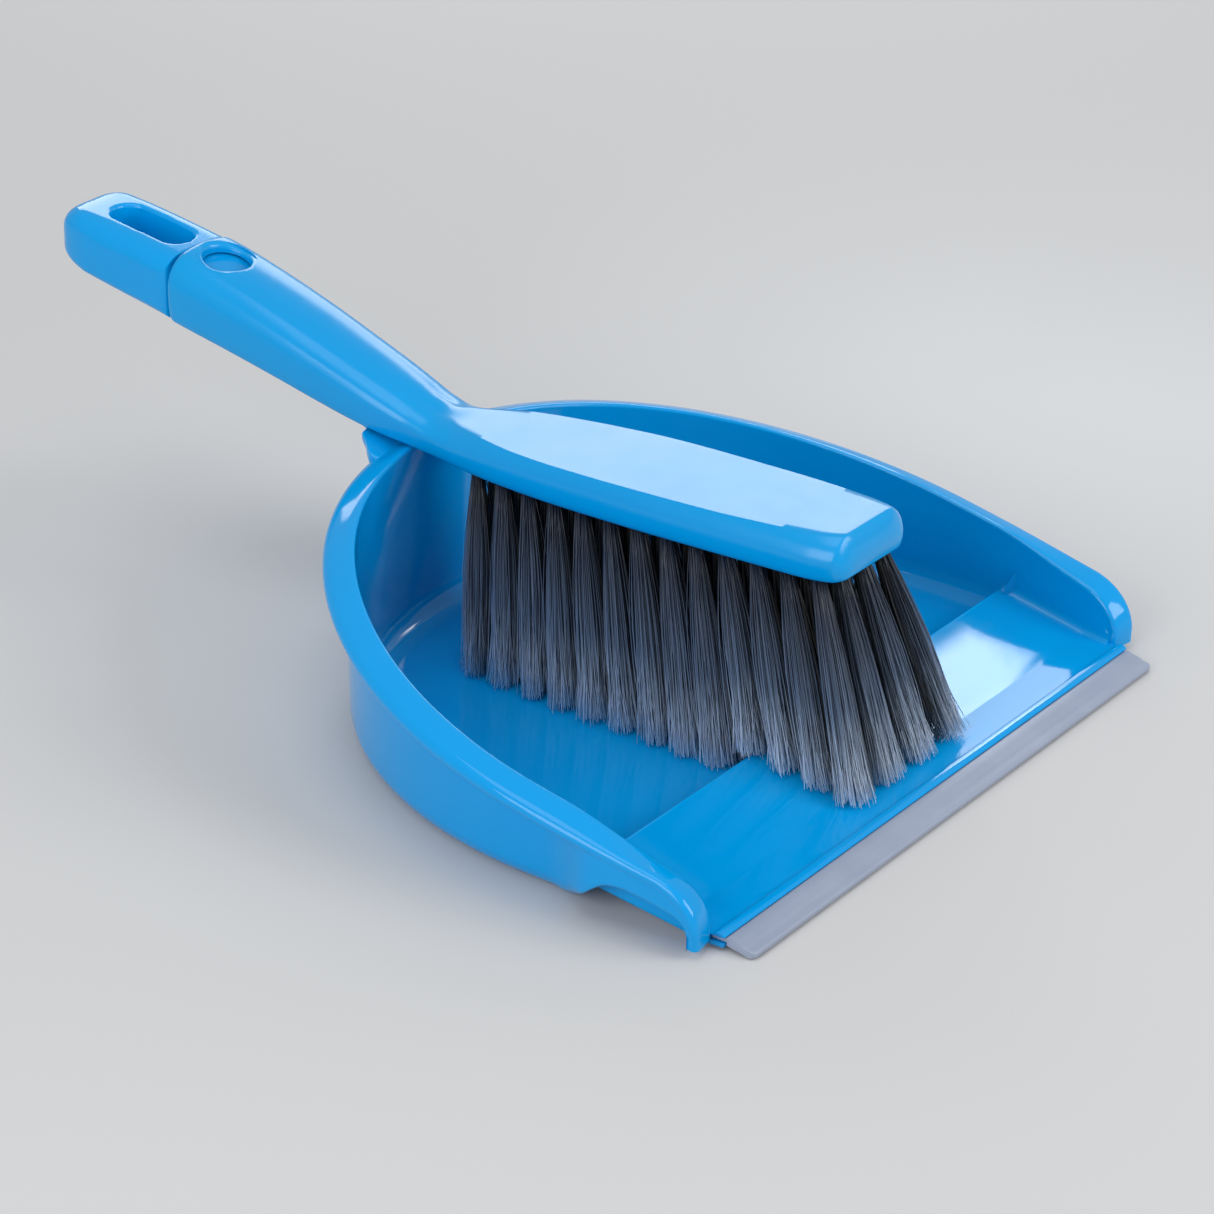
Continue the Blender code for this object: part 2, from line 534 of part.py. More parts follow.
for row_index, row in enumerate(ROWS):
    for index in range(TUFT_COUNT):
        share = index / (TUFT_COUNT - 1)
        root_y = TUFT_FIRST_Y + (TUFT_LAST_Y - TUFT_FIRST_Y) * share
        tip_y = TUFT_TIP_FIRST_Y + (TUFT_TIP_LAST_Y - TUFT_TIP_FIRST_Y) * share
        width_share = station_value(1, root_y) / BLOCK_HALF_WIDTH
        root_x = row * station_value(1, root_y)
        tip_x = TIP_SPREAD[row] * (0.8 + 0.2 * width_share)
        underside = station_value(3, root_y)
        hole_rings = [tuft_ring((root_x, root_y, z), TUFT_HOLE_RADIUS, TUFT_HOLE_RADIUS) for z in (underside - 5.0, underside + TUFT_HOLE_DEPTH)]
        combine(brush, add(f"tuft_hole_{row_index + 1}_{index + 1:02d}", hole_rings), "DIFFERENCE")
        root_radius = TUFT_HOLE_RADIUS - FIT_GAP
        tip_z = floor_height(tip_y - TUFT_TIP_HALF_LENGTH) if tip_y < POCKET_FRONT_Y + 14 else floor_height(tip_y)
        tip_z = max(tip_z, floor_height(tip_y)) + TIP_CLEARANCE
        rings = [
            tuft_ring((root_x, root_y, underside + TUFT_HOLE_DEPTH - 0.5), root_radius, root_radius),
            tuft_ring((root_x, root_y, underside - 1.0), root_radius, root_radius),
        ]
        tip_half_x = 7.3 * (0.75 + 0.25 * width_share)
        for down in (0.35, 0.75, 1.0):
            z = underside - 1.0 + (tip_z - underside + 1.0) * down
            ease = down ** 1.15
            centre = (root_x + (tip_x - root_x) * ease, root_y + (tip_y - root_y) * ease, z)
            grow = down ** 0.9
            rings.append(tuft_ring(
                centre, root_radius + (tip_half_x - root_radius) * grow, root_radius + (TUFT_TIP_HALF_LENGTH - root_radius) * grow,
            ))
        add(f"tuft_{row_index + 1}_{index + 1:02d}", rings, bristle)

for made_object in parts.objects:
    for face in made_object.data.polygons:
        face.use_smooth = True
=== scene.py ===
import math

import bmesh
import bpy
import numpy as np
from mathutils import Matrix, Vector


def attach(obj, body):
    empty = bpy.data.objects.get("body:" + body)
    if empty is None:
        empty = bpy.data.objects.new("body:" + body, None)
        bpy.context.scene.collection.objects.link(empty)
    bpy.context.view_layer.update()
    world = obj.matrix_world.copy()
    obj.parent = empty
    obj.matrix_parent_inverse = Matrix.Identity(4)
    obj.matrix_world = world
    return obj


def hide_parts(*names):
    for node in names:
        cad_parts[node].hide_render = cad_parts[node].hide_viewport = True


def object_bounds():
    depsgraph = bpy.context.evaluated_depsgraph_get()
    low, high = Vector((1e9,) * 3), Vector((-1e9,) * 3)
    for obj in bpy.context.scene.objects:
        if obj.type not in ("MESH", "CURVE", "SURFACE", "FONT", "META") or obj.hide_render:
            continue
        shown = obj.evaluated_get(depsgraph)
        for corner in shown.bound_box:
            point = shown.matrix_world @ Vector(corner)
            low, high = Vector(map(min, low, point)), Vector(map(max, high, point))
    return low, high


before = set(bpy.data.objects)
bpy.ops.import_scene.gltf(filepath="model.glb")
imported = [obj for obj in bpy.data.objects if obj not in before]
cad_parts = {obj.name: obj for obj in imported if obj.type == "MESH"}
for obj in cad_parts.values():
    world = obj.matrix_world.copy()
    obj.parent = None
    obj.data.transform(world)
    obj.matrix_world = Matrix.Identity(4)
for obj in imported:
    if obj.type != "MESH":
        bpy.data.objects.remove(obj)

cad_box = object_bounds()
MM_PER_M = 1000
cad_length = MM_PER_M * (cad_box[1].y - cad_box[0].y)

# ---- Pan: wall, rim band and cheeks ----
# The pan is one injection moulding in blue polypropylene. Its wall carries a sloping rim band with a rounded
# outer bead, which turns down to the ground as an ear at both front corners. Lengths here are in mm: x
# across, y back from the lip's edge and z up.
PAN_HALF_WIDTH = 119.4
PAN_FRONT_HALF_WIDTH = 116.3
PAN_LENGTH = 201.8
PAN_WIDEST_Y = 74.0
RIM_FRONT_Z = 19.5
RIM_SLOPE = 0.162
RIM_CURVE = 2.24
BEAD_DEPTH = 3.8
EAR_FRONT_Y = 11.5
EAR_RADIUS = 16.0
EAR_DROP_Z = 6.0
EAR_LOW_Z = 2.6
EAR_LEAN = 4.6
EAR_LATE_RISE = 1.2
EAR_STEPS = 19
SIDE_STEPS = 33
BACK_STEPS = 72
RIM_WIDTH = 10.0
SKIRT_INSET = 0.4
SKIRT_THICKNESS = 2.2
WALL_OUTER_INSET = 6.6
WALL_INNER_INSET = 9.2
WALL_DRAFT = 1.0
OUTER_FILLET = 7.0
INNER_FILLET = 8.0
RAMP_FILLET = 3.0
FLOOR_TOP = 2.0
POCKET_FRONT_Y = 53.3
RISER_Y = 55.7
CREST_Z = 9.6
CREASE_Y = 24.0
CREASE_Z = 4.7
STRIP_FRONT_Z = 3.9
FRONT_EDGE_Y = 9.4
SIDE_CURVE = (PAN_HALF_WIDTH - PAN_FRONT_HALF_WIDTH) / (PAN_WIDEST_Y - EAR_FRONT_Y) ** 2
REAR_RADIUS = PAN_LENGTH - PAN_WIDEST_Y


def eased(pairs, values):
    """A smooth curve through pairs of (place, value): cubic pieces whose slopes never overshoot."""
    x, y = np.array(pairs, float).T
    values = np.clip(values, x[0], x[-1])
    step = np.diff(x)
    slope = np.diff(y) / step
    together = slope[:-1] * slope[1:] > 0
    total = np.where(together, slope[:-1] + slope[1:], 1.0)
    inner = np.where(together, 2 * slope[:-1] * slope[1:] / total, 0.0)
    tangent = np.concatenate([slope[:1], inner, slope[-1:]])
    i = np.clip(np.searchsorted(x, values, side="right") - 1, 0, len(step) - 1)
    t = (values - x[i]) / step[i]
    return (
        y[i] * (1 + 2 * t) * (1 - t) ** 2 + tangent[i] * step[i] * t * (1 - t) ** 2
        + y[i + 1] * t * t * (3 - 2 * t) + tangent[i + 1] * step[i] * t * t * (t - 1)
    )


def ease_step(low, high, value):
    """0 below low and 1 above high, with a smooth S between."""
    t = np.clip((value - low) / (high - low), 0, 1)
    return t * t * (3 - 2 * t)


def mix(a, b, share):
    return a + (b - a) * share


def half_width(y):
    """Half the pan's width: widest at PAN_WIDEST_Y and falling off with the square of the distance in
    front."""
    return PAN_HALF_WIDTH - SIDE_CURVE * np.minimum(y - PAN_WIDEST_Y, 0) ** 2


def rim_height(y):
    rise = y - EAR_FRONT_Y
    return RIM_FRONT_Z + RIM_SLOPE * rise + RIM_CURVE * (rise / 100) ** 2


RAMP_LINE = [(FRONT_EDGE_Y, STRIP_FRONT_Z), (CREASE_Y, CREASE_Z), (RISER_Y, CREST_Z)]


def ramp_height(y):
    return np.interp(y, *np.array(RAMP_LINE).T)


JOIN_DISTANCE = 1e-6


def grid_mesh(name, grids):
    """One mesh from grids of points in mm. Each grid is its points, whether its rows close up, whether its
    columns close up and whether both its ends are capped."""
    corners, faces, start = [], [], 0
    for points, close_rows, close_columns, caps in grids:
        rows, columns = points.shape[:2]
        number = np.arange(rows * columns).reshape(rows, columns) + start
        if close_rows:
            number = np.vstack([number, number[:1]])
        if close_columns:
            number = np.hstack([number, number[:, :1]])
        quads = np.stack([number[:-1, :-1], number[:-1, 1:], number[1:, 1:], number[1:, :-1]], -1)
        faces += quads.reshape(-1, 4).tolist()
        if caps:
            faces += [number[0, :columns][::-1].tolist(), number[-1, :columns].tolist()]
        corners.append(points.reshape(-1, 3))
        start += rows * columns
    made = bpy.data.meshes.new(name)
    places = (np.concatenate(corners) - (0, cad_length / 2, 0)) / MM_PER_M
    made.from_pydata(places.tolist(), [], faces)
    shape = bmesh.new()
    shape.from_mesh(made)
    bmesh.ops.remove_doubles(shape, verts=shape.verts, dist=JOIN_DISTANCE)
    bmesh.ops.recalc_face_normals(shape, faces=shape.faces)
    shape.to_mesh(made)
    shape.free()
    return made


KEPT_EDGE_DEGREES = 40


def finish_piece(name, made, surface, body, nodes, sharp=KEPT_EDGE_DEGREES):
    """Makes the object: smooth shading that keeps edges over the sharp angle, its material and body, and
    hides its nodes."""
    made.shade_smooth()
    made.set_sharp_from_angle(angle=math.radians(sharp))
    made.materials.clear()
    made.materials.append(surface)
    piece = bpy.data.objects.new(name, made)
    bpy.context.scene.collection.objects.link(piece)
    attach(piece, body)
    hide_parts(*nodes)
    return piece


def linear(colour):
    """An sRGB hex colour as linear red, green, blue and alpha."""
    parts = np.array([int(colour[i:i + 2], 16) for i in (1, 3, 5)]) / 255
    return (*np.where(parts <= 0.04045, parts / 12.92, ((parts + 0.055) / 1.055) ** 2.4), 1.0)


def add_node(tree, kind, settings=None, links=None):
    """A shader node with its settings, where a name is an attribute or an input, and its inputs' links."""
    node = tree.nodes.new(kind)
    for key, value in (settings or {}).items():
        if isinstance(key, str) and hasattr(node, key):
            setattr(node, key, value)
        else:
            node.inputs[key].default_value = value
    for key, source in (links or {}).items():
        tree.links.new(source, node.inputs[key])
    return node


def moulded_polypropylene(name, colour, deep_colour, roughness):
    """Injection-moulded polypropylene: a satin skin with a fine spark-eroded grain, faint flow marks in its
    colour and small handling scuffs that change its gloss. IOR 1.49."""
    made = bpy.data.materials.new(name)
    made.use_nodes = True
    tree = made.node_tree
    shader = tree.nodes["Principled BSDF"]
    shader.inputs["IOR"].default_value = 1.49
    shader.inputs["Specular IOR Level"].default_value = 0.38
    place = add_node(tree, "ShaderNodeTexCoord").outputs["Object"]
    flow = add_node(tree, "ShaderNodeTexNoise", {"Scale": 14.0, "Detail": 3.0}, {"Vector": place})
    tint = add_node(
        tree, "ShaderNodeMix", {"data_type": "RGBA", 6: linear(deep_colour), 7: linear(colour)},
        {0: flow.outputs["Fac"]},
    )
    tree.links.new(tint.outputs[2], shader.inputs["Base Color"])
    scuff = add_node(
        tree, "ShaderNodeTexNoise", {"Scale": 90.0, "Detail": 6.0, "Roughness": 0.65}, {"Vector": place},
    )
    gloss = add_node(
        tree, "ShaderNodeMapRange",
        {"From Min": 0.35, "From Max": 0.7, "To Min": roughness - 0.02, "To Max": roughness + 0.04},
        {"Value": scuff.outputs["Fac"]},
    )
    tree.links.new(gloss.outputs["Result"], shader.inputs["Roughness"])
    grain = add_node(tree, "ShaderNodeTexNoise", {"Scale": 1600.0, "Detail": 2.0}, {"Vector": place})
    bump = add_node(
        tree, "ShaderNodeBump", {"Strength": 0.02, "Distance": 0.0002}, {"Height": grain.outputs["Fac"]},
    )
    tree.links.new(bump.outputs["Normal"], shader.inputs["Normal"])
    return made


pan_plastic = moulded_polypropylene("moulded_polypropylene_pan", "#0099DE", "#0091D6", 0.06)

# inset and rise of the band's surface, from the top of the inner wall over the band and round the bead
BAND_PROFILE = np.array([
    (9.3, 0.3), (9.36, 0.9), (9.3, 1.35), (9.05, 1.68), (8.7, 1.86), (8.2, 1.9), (6.2, 1.42), (4.2, 0.9),
    (2.8, 0.5), (2.0, 0.24), (1.3, -0.1), (0.72, -0.6), (0.3, -1.2), (0.05, -1.9), (0.05, -2.6), (0.3, -3.2),
    (0.66, -3.6), (1.1, -BEAD_DEPTH),
])
SKIRT_EDGE = [
    (EAR_FRONT_Y + 3.5, 4.6), (EAR_FRONT_Y + 4.7, 8.2), (18.0, 10.2), (20.5, 11.2), (23.5, 12.0),
    (29.5, 13.2),
    (35.8, 14.0), (40.8, 13.4), (45.2, 10.8), (50.0, 6.6), (54.0, 3.0), (58.0, 0.6), (61.0, 0.0),
    (300.0, 0.0),
]
# Distances back over which the wall's section changes from the ear's to the tray's.
TRAY_BEGINS = (47, 57)
FLOOR_BEGINS = (54.4, 56.4)
LEAN_ENDS = (20, 60)
BEAD_BEGINS = (40, 62)
SKIN_DRAWN_IN = (44, 66)


def rim_path():
    """The rim's outer edge from one ear round to the other: down the ear on a quarter turn, along the side,
    and round the back on a half ellipse. Returns points, inward directions, upward directions and the ear's
    turn."""
    turn_y = EAR_FRONT_Y + EAR_RADIUS
    turn_z = rim_height(turn_y)
    drop = np.array([EAR_LOW_Z, EAR_LOW_Z + 1.2, (EAR_LOW_Z + EAR_DROP_Z) / 2 + 0.8])
    angle = np.radians(np.linspace(0, 90, EAR_STEPS))
    side = np.linspace(turn_y, PAN_WIDEST_Y, SIDE_STEPS + 1)[1:]
    back = np.radians(np.linspace(0, 90, BACK_STEPS + 1))[1:]
    turned = len(drop) + EAR_STEPS
    straight = turned + SIDE_STEPS
    y = np.concatenate([
        np.full(len(drop), EAR_FRONT_Y), turn_y - EAR_RADIUS * np.cos(angle), side,
        PAN_WIDEST_Y + REAR_RADIUS * np.sin(back),
    ])
    late_rise = EAR_LATE_RISE * (1 - np.cos(angle)) ** 2
    arc_z = EAR_DROP_Z + (turn_z - EAR_DROP_Z - EAR_LATE_RISE) * np.sin(angle) + late_rise
    z = np.concatenate([drop, arc_z, rim_height(y[turned:])])
    x = np.concatenate([half_width(y[:straight]), PAN_HALF_WIDTH * np.cos(back)])
    along = np.concatenate([np.zeros(straight), np.sin(back) / REAR_RADIUS])
    across = np.concatenate([np.ones(straight), np.cos(back) / PAN_HALF_WIDTH])
    inward = -np.stack([across, along, 0 * across], 1) / np.hypot(across, along)[:, None]
    points = np.stack([x, y, z], 1)
    run = np.gradient(points, axis=0)
    run /= np.linalg.norm(run, axis=1)[:, None]
    run[:len(drop)] = (0, 0, 1)
    up = np.array((0, 0, 1.0)) - run * run[:, 2:]
    up[:len(drop) + 1] = (0, -1, 0)
    up /= np.linalg.norm(up, axis=1)[:, None]
    turn = np.concatenate([np.zeros(len(drop)), angle, np.full(len(y) - turned, np.pi / 2)])
    return points, inward, up, turn


def pan_wall():
    """Sections of the wall at each place on the rim path: inner fillet and face, band, bead, outer face or
    skirt, its rounded bottom edge, and the hollow behind the skirt, which closes to the flat underside at
    the tray."""
    points, inward, up, turn = rim_path()
    rim_z = points[:, 2:]
    wall_y = points[:, 1:2] + BEAD_DEPTH * np.cos(turn)[:, None]
    shift = np.stack([half_width(wall_y[:, 0]) - half_width(points[:, 1]), wall_y[:, 0] - points[:, 1]], 1)
    tray = ease_step(*TRAY_BEGINS, wall_y)
    inside = ease_step(*FLOOR_BEGINS, wall_y)
    top_z = rim_z - (BEAD_DEPTH + 0.3) * np.sin(turn)[:, None]

    def placed(inset, height):
        """Points under the rim at an inset and a height."""
        inset, height = np.broadcast_arrays(inset, height)
        flat = points[:, None, :2] + shift[:, None] + inward[:, None, :2] * inset[..., None]
        return np.concatenate([flat, height[..., None]], 2)

    low = mix(ramp_height(wall_y) - 0.25, FLOOR_TOP - 0.06, inside)
    radius = mix(RAMP_FILLET, INNER_FILLET, inside)
    inner_low = mix(WALL_INNER_INSET + 0.5, WALL_INNER_INSET + WALL_DRAFT, inside)
    sweep = np.radians(np.linspace(0, 90, 9))[None]
    inner = placed(
        inner_low + radius * (1 - np.sin(sweep)),
        np.minimum(low + radius * (1 - np.cos(sweep)), rim_z - 0.1),
    )
    share = np.array([[0.25, 0.5, 0.75]])
    lean = EAR_LEAN * (1 - ease_step(*LEAN_ENDS, points[:, 1:2])) / RIM_WIDTH
    face_low = np.minimum(low + radius, rim_z - 0.1)
    face_top = np.maximum(rim_z - 0.2 - lean * WALL_INNER_INSET, face_low)
    face = placed(mix(inner_low, WALL_INNER_INSET, share), mix(face_low, face_top, share))

    flush = ease_step(*BEAD_BEGINS, wall_y)
    profile_inset, profile_rise = BAND_PROFILE.T[:, None]
    below_bead = np.where(profile_rise < -2.7, SKIRT_INSET, np.inf)
    band_inset = mix(np.minimum(profile_inset, below_bead), profile_inset, flush)
    band_rise = profile_rise - lean * band_inset
    band = points[:, None] + inward[:, None] * band_inset[..., None] + up[:, None] * band_rise[..., None]

    skin = mix(SKIRT_INSET, WALL_OUTER_INSET, ease_step(*SKIN_DRAWN_IN, wall_y))
    skin_low = skin + WALL_DRAFT * tray
    edge = np.minimum(eased(SKIRT_EDGE, wall_y), top_z - 0.05)
    edge_radius = np.minimum(mix(SKIRT_THICKNESS / 2, OUTER_FILLET, tray), (top_z - edge) / 2)
    ledge = mix(SKIRT_INSET, 1.1, flush)
    shelf = placed(
        mix(ledge, skin, np.array([[0.45, 0.85, 1.0]])),
        top_z + np.array([[0.2, 0.05, -0.45]]) * np.sin(turn)[:, None],
    )
    drop = np.linspace(0.12, 1, 7)[None]
    outer = placed(
        mix(skin, skin_low, drop), mix(top_z - 0.5 * np.sin(turn)[:, None], edge + edge_radius, drop),
    )
    bend = np.radians(mix(180.0, 90.0, tray) * np.linspace(0, 1, 11)[None])
    bottom = placed(skin_low + edge_radius * (1 - np.cos(bend)), edge + edge_radius * (1 - np.sin(bend)))

    void_out = skin_low + 2 * edge_radius
    void_in = np.maximum(WALL_OUTER_INSET + 1.8, void_out + 0.6)
    void_top = np.maximum(top_z - 0.4, edge + edge_radius)
    under = np.minimum(np.minimum(edge, ramp_height(wall_y) - 0.9), top_z - 0.05)
    hollow_inset = np.hstack(
        [void_out, void_out, void_out + 0.4, void_in - 0.2, void_in, void_in, inner_low + 1.0]
    )
    middle = (edge + edge_radius + void_top) / 2
    hollow_height = np.hstack([middle, void_top - 0.5, void_top, void_top, void_top - 0.5, under, under])
    flat_inset = skin_low + OUTER_FILLET + np.linspace(0.1, 1, 7)[None] * (
        inner_low + radius - skin_low - OUTER_FILLET
    )
    hollow = placed(mix(hollow_inset, flat_inset, tray), mix(hollow_height, edge + 0 * hollow_height, tray))

    half = np.concatenate([inner, face, band, shelf, outer, bottom, hollow], 1)
    mirrored = half[:-1][::-1] * (-1, 1, 1)
    return np.concatenate([half, mirrored])


finish_piece(
    "pan_wall_and_rim",
    grid_mesh("pan_wall_and_rim", [(pan_wall(), False, True, True)]),
    pan_plastic, "pan", ["pan_body"],
)

# ---- Pan: floor ----
# Part of the same moulding: the flat bottom of the tray, inside the wall's fillet and behind the crest. Its
# back follows the rim's half ellipse and its front corners are nearly square.
FLOOR_CENTRE_Y = 110.0
FLOOR_OVERLAP = 0.2
FLOOR_FRONT_Y = RISER_Y + 0.8
SQUARE_ALONG = 0.25
SQUARE_ACROSS = 0.12


def pan_floor():
    """Rings about the floor's centre, over its top and back underneath. Behind the widest place the outline
    is a half ellipse. In front it is squared by raising the turn's sine and cosine to small powers."""
    angle = np.radians(np.linspace(0, 360, 145))[:-1]
    back = PAN_LENGTH - WALL_INNER_INSET - WALL_DRAFT - INNER_FILLET + FLOOR_OVERLAP
    reach = PAN_HALF_WIDTH - WALL_INNER_INSET - WALL_DRAFT - INNER_FILLET + FLOOR_OVERLAP
    across, along = np.cos(angle), np.sin(angle)
    square_x = np.sign(across) * reach * np.abs(across) ** SQUARE_ACROSS
    square_y = mix(PAN_WIDEST_Y, FLOOR_FRONT_Y, np.abs(along) ** SQUARE_ALONG)
    in_front = angle > np.pi
    x = np.where(in_front, square_x, reach * across)
    y = np.where(in_front, square_y, PAN_WIDEST_Y + (back - PAN_WIDEST_Y) * along)
    ring = np.stack([x, y], 1)
    centre = np.array([0.0, FLOOR_CENTRE_Y])
    rings = []
    for share, z in (
        (0.0, FLOOR_TOP), (0.5, FLOOR_TOP), (1.0, FLOOR_TOP), (1.0, 0.0), (0.5, 0.0), (0.0, 0.0),
    ):
        flat = mix(centre, ring, share)
        rings.append(np.concatenate([flat, np.full((len(ring), 1), z)], 1))
    return np.array(rings)


finish_piece(
    "pan_floor",
    grid_mesh("pan_floor", [(pan_floor(), False, True, False)]),
    pan_plastic, "pan", ["pan_body"],
)

# ---- Pan: ramp, crest and front edge ----
# Part of the same moulding: dirt is swept over the raised bead and up the ramp, then falls behind the crest.
# The front edge has a groove that grips the lip.
BEAD_BACK_Y = 12.8
BEAD_TOP_Z = 4.9
RISER_FILLET = 5.0
RISER_FOOT_Y = RISER_Y + 1.2
CREST_RADIUS = 0.8
GROOVE_LOW_Z = 2.2
GROOVE_TOP_Z = 3.9
GROOVE_BACK_Y = FRONT_EDGE_Y + 4.9
UNDERSIDE_Z = 0.2
REACH_INSET_FRONT = 9.0
REACH_INSET_REAR = 8.9
REACH_RADIUS = 7.5


def pan_ramp():
    """A closed section in y and z carried across x. Each point reaches into the middle of the side wall at
    its own height, so low points behind the crest stop short of the wall's outer fillet."""
    crest_turn = np.radians([80, 60, 40, 20, 0])
    foot_turn = np.radians(np.linspace(0, 90, 7))
    foot = np.stack([
        RISER_FOOT_Y + RISER_FILLET * (1 - np.sin(foot_turn)),
        FLOOR_TOP - 0.05 + RISER_FILLET * (1 - np.cos(foot_turn)),
    ], 1)
    crest = np.stack([
        RISER_Y - 0.7 + CREST_RADIUS * np.sin(crest_turn),
        CREST_Z - CREST_RADIUS + CREST_RADIUS * np.cos(crest_turn),
    ], 1)
    slope = np.linspace(RISER_Y - 1.0, CREASE_Y + 0.6, 9)
    ramp = np.stack([slope, ramp_height(slope) - 0.05], 1)
    strip = np.linspace(CREASE_Y - 0.6, BEAD_BACK_Y + 0.5, 5)
    front = np.stack([strip, ramp_height(strip)], 1)
    bead = np.array([
        (BEAD_BACK_Y, 4.15), (BEAD_BACK_Y - 0.3, 4.6), (BEAD_BACK_Y - 0.8, BEAD_TOP_Z),
        (FRONT_EDGE_Y + 1.1, BEAD_TOP_Z), (FRONT_EDGE_Y + 0.4, 4.7), (FRONT_EDGE_Y, 4.2),
        (FRONT_EDGE_Y, GROOVE_TOP_Z), (GROOVE_BACK_Y, GROOVE_TOP_Z), (GROOVE_BACK_Y, GROOVE_LOW_Z),
        (FRONT_EDGE_Y, GROOVE_LOW_Z), (FRONT_EDGE_Y, 1.2), (FRONT_EDGE_Y + 0.3, 1.0),
        (FRONT_EDGE_Y + 6.5, 1.0),
    ])
    under = np.array([
        (CREASE_Y, CREASE_Z - 2.0), (POCKET_FRONT_Y - 2.0, 6.9), (POCKET_FRONT_Y + 0.4, 6.0),
        (POCKET_FRONT_Y + 0.9, 4.0), (POCKET_FRONT_Y + 1.8, 1.4), (POCKET_FRONT_Y + 3.4, 0.3),
        (POCKET_FRONT_Y + 5.0, UNDERSIDE_Z),
    ])
    close = np.array([(RISER_FOOT_Y + RISER_FILLET, UNDERSIDE_Z)])
    section = np.concatenate([foot, crest, ramp, front, bead, under, close])
    across = np.linspace(-1, 1, 61)
    across = np.sign(across) * np.abs(across) ** 0.8
    y, z = section.T
    behind = ease_step(POCKET_FRONT_Y - 2, POCKET_FRONT_Y + 1, y)
    drop = 1 - np.minimum(z, REACH_RADIUS) / REACH_RADIUS
    rear_inset = REACH_INSET_REAR + REACH_RADIUS * (1 - np.sqrt(1 - drop ** 2))
    inset = mix(REACH_INSET_FRONT, rear_inset, behind)
    x = across[:, None] * (half_width(y) - inset)
    return np.stack([x, np.broadcast_to(y, x.shape), np.broadcast_to(z, x.shape)], 2)


finish_piece(
    "pan_ramp",
    grid_mesh("pan_ramp", [(pan_ramp(), False, True, True)]),
    pan_plastic, "pan", ["pan_body"], sharp=25,
)

# ---- Pan: neck, tongue and the end of the handle ----
# Still the same moulding: the neck rises from the rear rim, the tongue fills the brush's hollow handle, and
# the full-size end behind it has a long slot that hangs the set on a hook.
HANDLE_STEP_Y = cad_length - 49.0
NECK_Y = PAN_LENGTH - 15.8
BLOCK_FRONT_Y = 34.8
TONGUE_FRONT_Y = PAN_LENGTH + 5.7
SLEEVE_WALL = 2.4
SLEEVE_GAP = 0.5
SLOT_Y = HANDLE_STEP_Y + 19.6
SLOT_HALF_LENGTH = 15.0
SLOT_HALF_WIDTH = 6.6
REAR_Z = rim_height(PAN_LENGTH)
# The brush at shares of its length (0 block front, 1 neck, 2 step): half width, top and bottom above the
# rear rim, and the width of its shoulder.
BRUSH_ROWS = np.array([
    (0.0, 13.4, 13.6, 8.2, 7.0), (0.005, 15.4, 16.2, 7.2, 6.6), (0.012, 16.8, 18.4, 6.8, 6.2),
    (0.02, 17.9, 19.6, 6.5, 6.0), (0.041, 18.9, 19.4, 6.2, 5.4), (0.077, 19.7, 19.0, 5.9, 4.8),
    (0.17, 20.3, 18.3, 5.5, 3.6), (0.3, 20.8, 17.3, 4.9, 2.8), (0.43, 21.0, 16.5, 4.2, 2.5),
    (0.56, 20.6, 15.6, 3.4, 2.2), (0.68, 19.5, 14.5, 2.5, 2.3), (0.775, 17.9, 13.7, 1.8, 2.6),
    (0.855, 16.0, 13.2, 1.2, 3.5), (0.914, 14.3, 12.7, 1.0, 5.1), (0.96, 13.0, 12.3, 1.2, 7.0),
    (1.0, 12.4, 12.3, 1.6, 8.8), (1.06, 12.4, 13.6, 2.2, 9.0), (1.143, 13.2, 16.4, 3.2, 8.6),
    (1.245, 14.1, 19.8, 4.8, 8.2), (1.4, 14.9, 24.8, 8.0, 8.2), (1.55, 15.5, 29.6, 11.4, 8.4),
    (1.776, 16.1, 36.0, 16.0, 8.6), (1.94, 16.4, 39.8, 19.0, 8.6), (2.0, 16.3, 40.8, 20.1, 8.4),
])
BRUSH_Y = np.where(
    BRUSH_ROWS[:, 0] < 1,
    BLOCK_FRONT_Y + BRUSH_ROWS[:, 0] * (NECK_Y - BLOCK_FRONT_Y),
    NECK_Y + (BRUSH_ROWS[:, 0] - 1) * (HANDLE_STEP_Y - NECK_Y),
)
# Distance behind the pan's rear, half width, top and bottom above the rear rim.
NECK_ROWS = np.array([
    (-13.3, 15.3, -5.6, -15.4), (-6.3, 19.2, -0.7, -8.6), (-2.3, 20.8, 1.0, -5.1), (0.2, 19.4, 1.9, -2.9),
    (2.7, 17.2, 2.6, -1.1), (5.2, 15.5, 3.2, 0.3), (6.2, 14.6, 3.6, 0.8), (6.6, 11.0, 4.2, 0.9),
    (8.6, 10.7, 9.0, 1.9), (14.2, 10.8, 14.2, 4.1), (20.2, 11.0, 17.4, 6.5),
])
# Distance behind the step, top and bottom above the rear rim.
END_ROWS = np.array([
    (0.9, 39.6, 19.4), (12.0, 41.3, 21.4), (24.0, 42.9, 23.4), (34.0, 44.0, 25.2), (41.0, 44.4, 26.8),
    (49.0, 43.8, 29.4),
])
END_HALF_WIDTH = 15.2
END_REAR_EXPONENT = 4.0
END_FRONT_EXPONENT = 14
END_FRONT_ROUNDING = 0.5
END_TOP_STEPS = 14
# The end's top and underside: column in END_ROWS, rounding at the slot and at the rear corner, and width and
# height of the rounding along its sides.
END_ROUNDINGS = ((1, 1.3, 6.0, 7.0, 6.4), (2, 0.8, 3.4, 3.4, 3.4))
TONGUE_EXTRA_GAP = 0.4
TONGUE_ROUNDINGS = (5.0, 1.6)


def brush_size(column, y):
    """The brush's half width (1), top (2), bottom (3) or shoulder (4) at a distance back."""
    lift = REAR_Z if column in (2, 3) else 0
    return eased(np.stack([BRUSH_Y, BRUSH_ROWS[:, column]], 1), y) + lift


